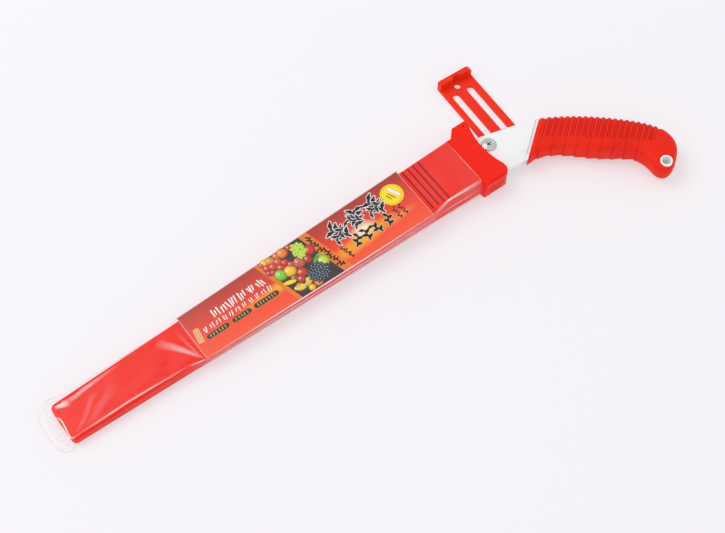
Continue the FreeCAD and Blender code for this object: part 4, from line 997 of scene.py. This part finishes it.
def make_small_marks(red_dark, grey_dark):
    """Painted shade: a dark disc at the dip near the horn's tip, and a grey painted shadow line at the joint
    between the holder and the grip's white ring.
    """
    tree = surface_tree(NODES["mouth_collar"])
    centre = tree.ray_cast(place(19.0, 25.4, 40), Vector((0, 0, -1)))[0]
    points, faces = [], []
    count = 16
    for radius, sink in ((0.75, 0.02), (0.45, 0.04)):
        for i in range(count):
            a = 2 * math.pi * i / count
            points.append(centre + Vector((radius * math.cos(a), radius * 0.8 * math.sin(a), sink)) * MM)
    faces = [(i, (i + 1) % count, count + (i + 1) % count, count + i) for i in range(count)]
    faces.append(tuple(range(count, 2 * count)))
    dimple = new_piece("horn_dip_shade", points, faces, [red_dark], "sheath")

    matrix = grip_matrix()
    down = matrix.to_3x3() @ Vector((0, 0, -1))
    tree = surface_tree(NODES["holder_front_half"])
    points = []
    for i in range(45):
        q = -16 + 42 * i / 44
        ends = [tree.ray_cast(matrix @ (Vector((p, q, 20)) * MM), down)[0] for p in (-3.85, -3.4)]
        if None not in ends:
            points += [spot - down * 0.03 * MM for spot in ends]
    faces = strip_faces(0, len(points) // 2)
    joint = new_piece("ring_shadow_line", points, faces, [grey_dark], "saw")


def clean(mesh, merge=0.0):
    """Merge points closer than that, when it isn't 0, and turn every face outwards."""
    work = bmesh.new()
    work.from_mesh(mesh)
    if merge:
        bmesh.ops.remove_doubles(work, verts=work.verts, dist=merge)
    bmesh.ops.recalc_face_normals(work, faces=work.faces)
    work.to_mesh(mesh)
    work.free()


def make_bolt(steel, dark):
    """Truss head with a rim, a ring line and a cross recess whose walls take a dark material as painted
    shade, over the bolt's shank.
    """
    low, high = (Vector(v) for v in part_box("blade_bolt"))
    centre = Vector(((low.x + high.x) / 2, (low.y + high.y) / 2, high.z))
    matrix = Matrix.Translation(centre - Vector((0, 0, 0.07 * MM))) @ saw_tilt()
    head = 5.98
    profile = [(0.0, 0.0), (2.0, -0.02), (3.6, -0.12), (3.75, -0.26), (3.95, -0.26), (4.1, -0.15),
               (5.0, -0.42), (5.5, -0.66), (5.8, -0.9), (head, -1.2), (head, -1.62), (5.6, -1.72),
               (2.4, -1.75), (2.35, -9.6), (1.9, -9.9), (0.0, -9.9)]
    turns = 72
    rings = []
    for r, z in profile:
        rings.append([matrix @ (Vector((max(r, 0.001) * math.cos(2 * math.pi * i / turns),
                                        max(r, 0.001) * math.sin(2 * math.pi * i / turns), z)) * MM)
                      for i in range(turns)])
    points, faces = loft(rings)
    bolt = new_piece("bolt_with_cross", points, [tuple(reversed(f)) for f in faces], [steel, dark], "saw")
    clean(bolt.data, 0.002 * MM)
    cut_points = []
    outline = [(2.3, 0.42), (0.5, 0.5), (0.42, 2.3)]
    full = []
    for quarter in range(4):
        a = math.radians(90 * quarter + 18)
        for x, y in outline:
            full.append((x * math.cos(a) - y * math.sin(a), x * math.sin(a) + y * math.cos(a)))
    for z, scale in ((0.8, 1.0), (-1.1, 0.62)):
        cut_points += [matrix @ (Vector((x * scale, y * scale, z)) * MM) for x, y in full]
    n = len(full)
    cut_faces = [(i, (i + 1) % n, n + (i + 1) % n, n + i) for i in range(n)]
    cut_faces += [tuple(range(n)), tuple(reversed(range(n, 2 * n)))]
    cutter_mesh = bpy.data.meshes.new("cross_cutter")
    cutter_mesh.from_pydata(cut_points, [], cut_faces)
    clean(cutter_mesh)
    # The recess walls cut by this take the dark material: painted shade.
    for material in (steel, dark):
        cutter_mesh.materials.append(material)
    cutter_mesh.polygons.foreach_set("material_index", [1] * len(cutter_mesh.polygons))
    cutter = new_object("cross_cutter", cutter_mesh)
    cut = bolt.modifiers.new("cross", "BOOLEAN")
    cut.operation = "DIFFERENCE"
    cut.object = cutter
    bpy.context.view_layer.update()
    result = bpy.data.meshes.new_from_object(bolt.evaluated_get(bpy.context.evaluated_depsgraph_get()))
    bolt.modifiers.clear()
    bolt.data = result
    bpy.data.objects.remove(cutter)
    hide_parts("blade_bolt")


# ------------------------------------------------------------------ finishes of the CAD parts
def dress():
    red = plain("sheath_red_plastic", (0.90, 0.016, 0.004), 0.36, specular=0.16, shade=0.04, patch=25,
                grain=1500, bump=0.06)
    hanger = plain("hanger_red_plastic", (0.90, 0.033, 0.011), 0.42, specular=0.16, shade=0.05, patch=40,
                   grain=1500, bump=0.08)
    rubber = make_rubber_material()
    white = plain("holder_white_paint", (0.92, 0.945, 0.915), 0.36, shade=0.02, patch=30, grain=1200,
                  bump=0.05)
    zinc = plain("zinc_plate", (0.62, 0.62, 0.60), 0.28, metallic=1.0, shade=0.08, patch=300, grain=2500,
                 bump=0.1)
    spring = plain("spring_steel_blue", (0.42, 0.43, 0.46), 0.3, metallic=1.0, shade=0.1, patch=300)
    steel = plain("ground_steel", (0.40, 0.41, 0.43), 0.30, metallic=1.0, shade=0.06, patch=120, grain=3000,
                  bump=0.1)
    nylon = plain("nylon", (0.82, 0.82, 0.78), 0.5, shade=0.03)
    # Painted shade: a dark red laid in the shell's grooves, between the heel ribs and in the horn's dip; the
    # thin line above the heel ribs uses it too.
    groove = plain("groove_shadow", (0.33, 0.003, 0.002), 0.6, specular=0.1, shade=0.05)
    # Painted shade: a dark grey for the walls of the bolt's cross recess.
    recess_shade = plain("recess_painted_shade", (0.10, 0.10, 0.10), 0.6, metallic=0.5)
    paint(red, "sheath_front_shell", "sheath_back_shell", "mouth_collar")
    paint(hanger, "belt_hanger")
    paint(white, "holder_front_half", "holder_back_half")
    bright = plain("ring_white", (0.95, 0.95, 0.94), 0.35, shade=0.01, patch=60)
    paint(bright, "grip_ring", "lanyard_tube")
    paint(zinc, "blade_nut", "collar_screws", "hanger_pivot", "pivot_washer", "core_rivets", "tang_pin")
    paint(spring, "retaining_spring")
    paint(steel, "saw_blade")
    paint(nylon, "guide_pad_front", "guide_pad_back")
    paint(make_card_material(), "label_card")
    make_grip(rubber)
    make_film(make_film_material(), make_painted_light_material())
    make_label_print(make_print_material())
    make_heel_ribs(red, groove)
    make_groove_floors(groove)
    make_small_marks(groove, plain("joint_shadow", (0.30, 0.31, 0.30), 0.6, shade=0.05))
    make_bolt(zinc, recess_shade)


bpy.context.scene.view_settings.view_transform = "Standard"
make_camera()
make_world()
make_stage()
make_area_light("key", (-0.7, 1.0, 1.9), (0, 0, 0), (1.6, 1.2), 13)
dress()
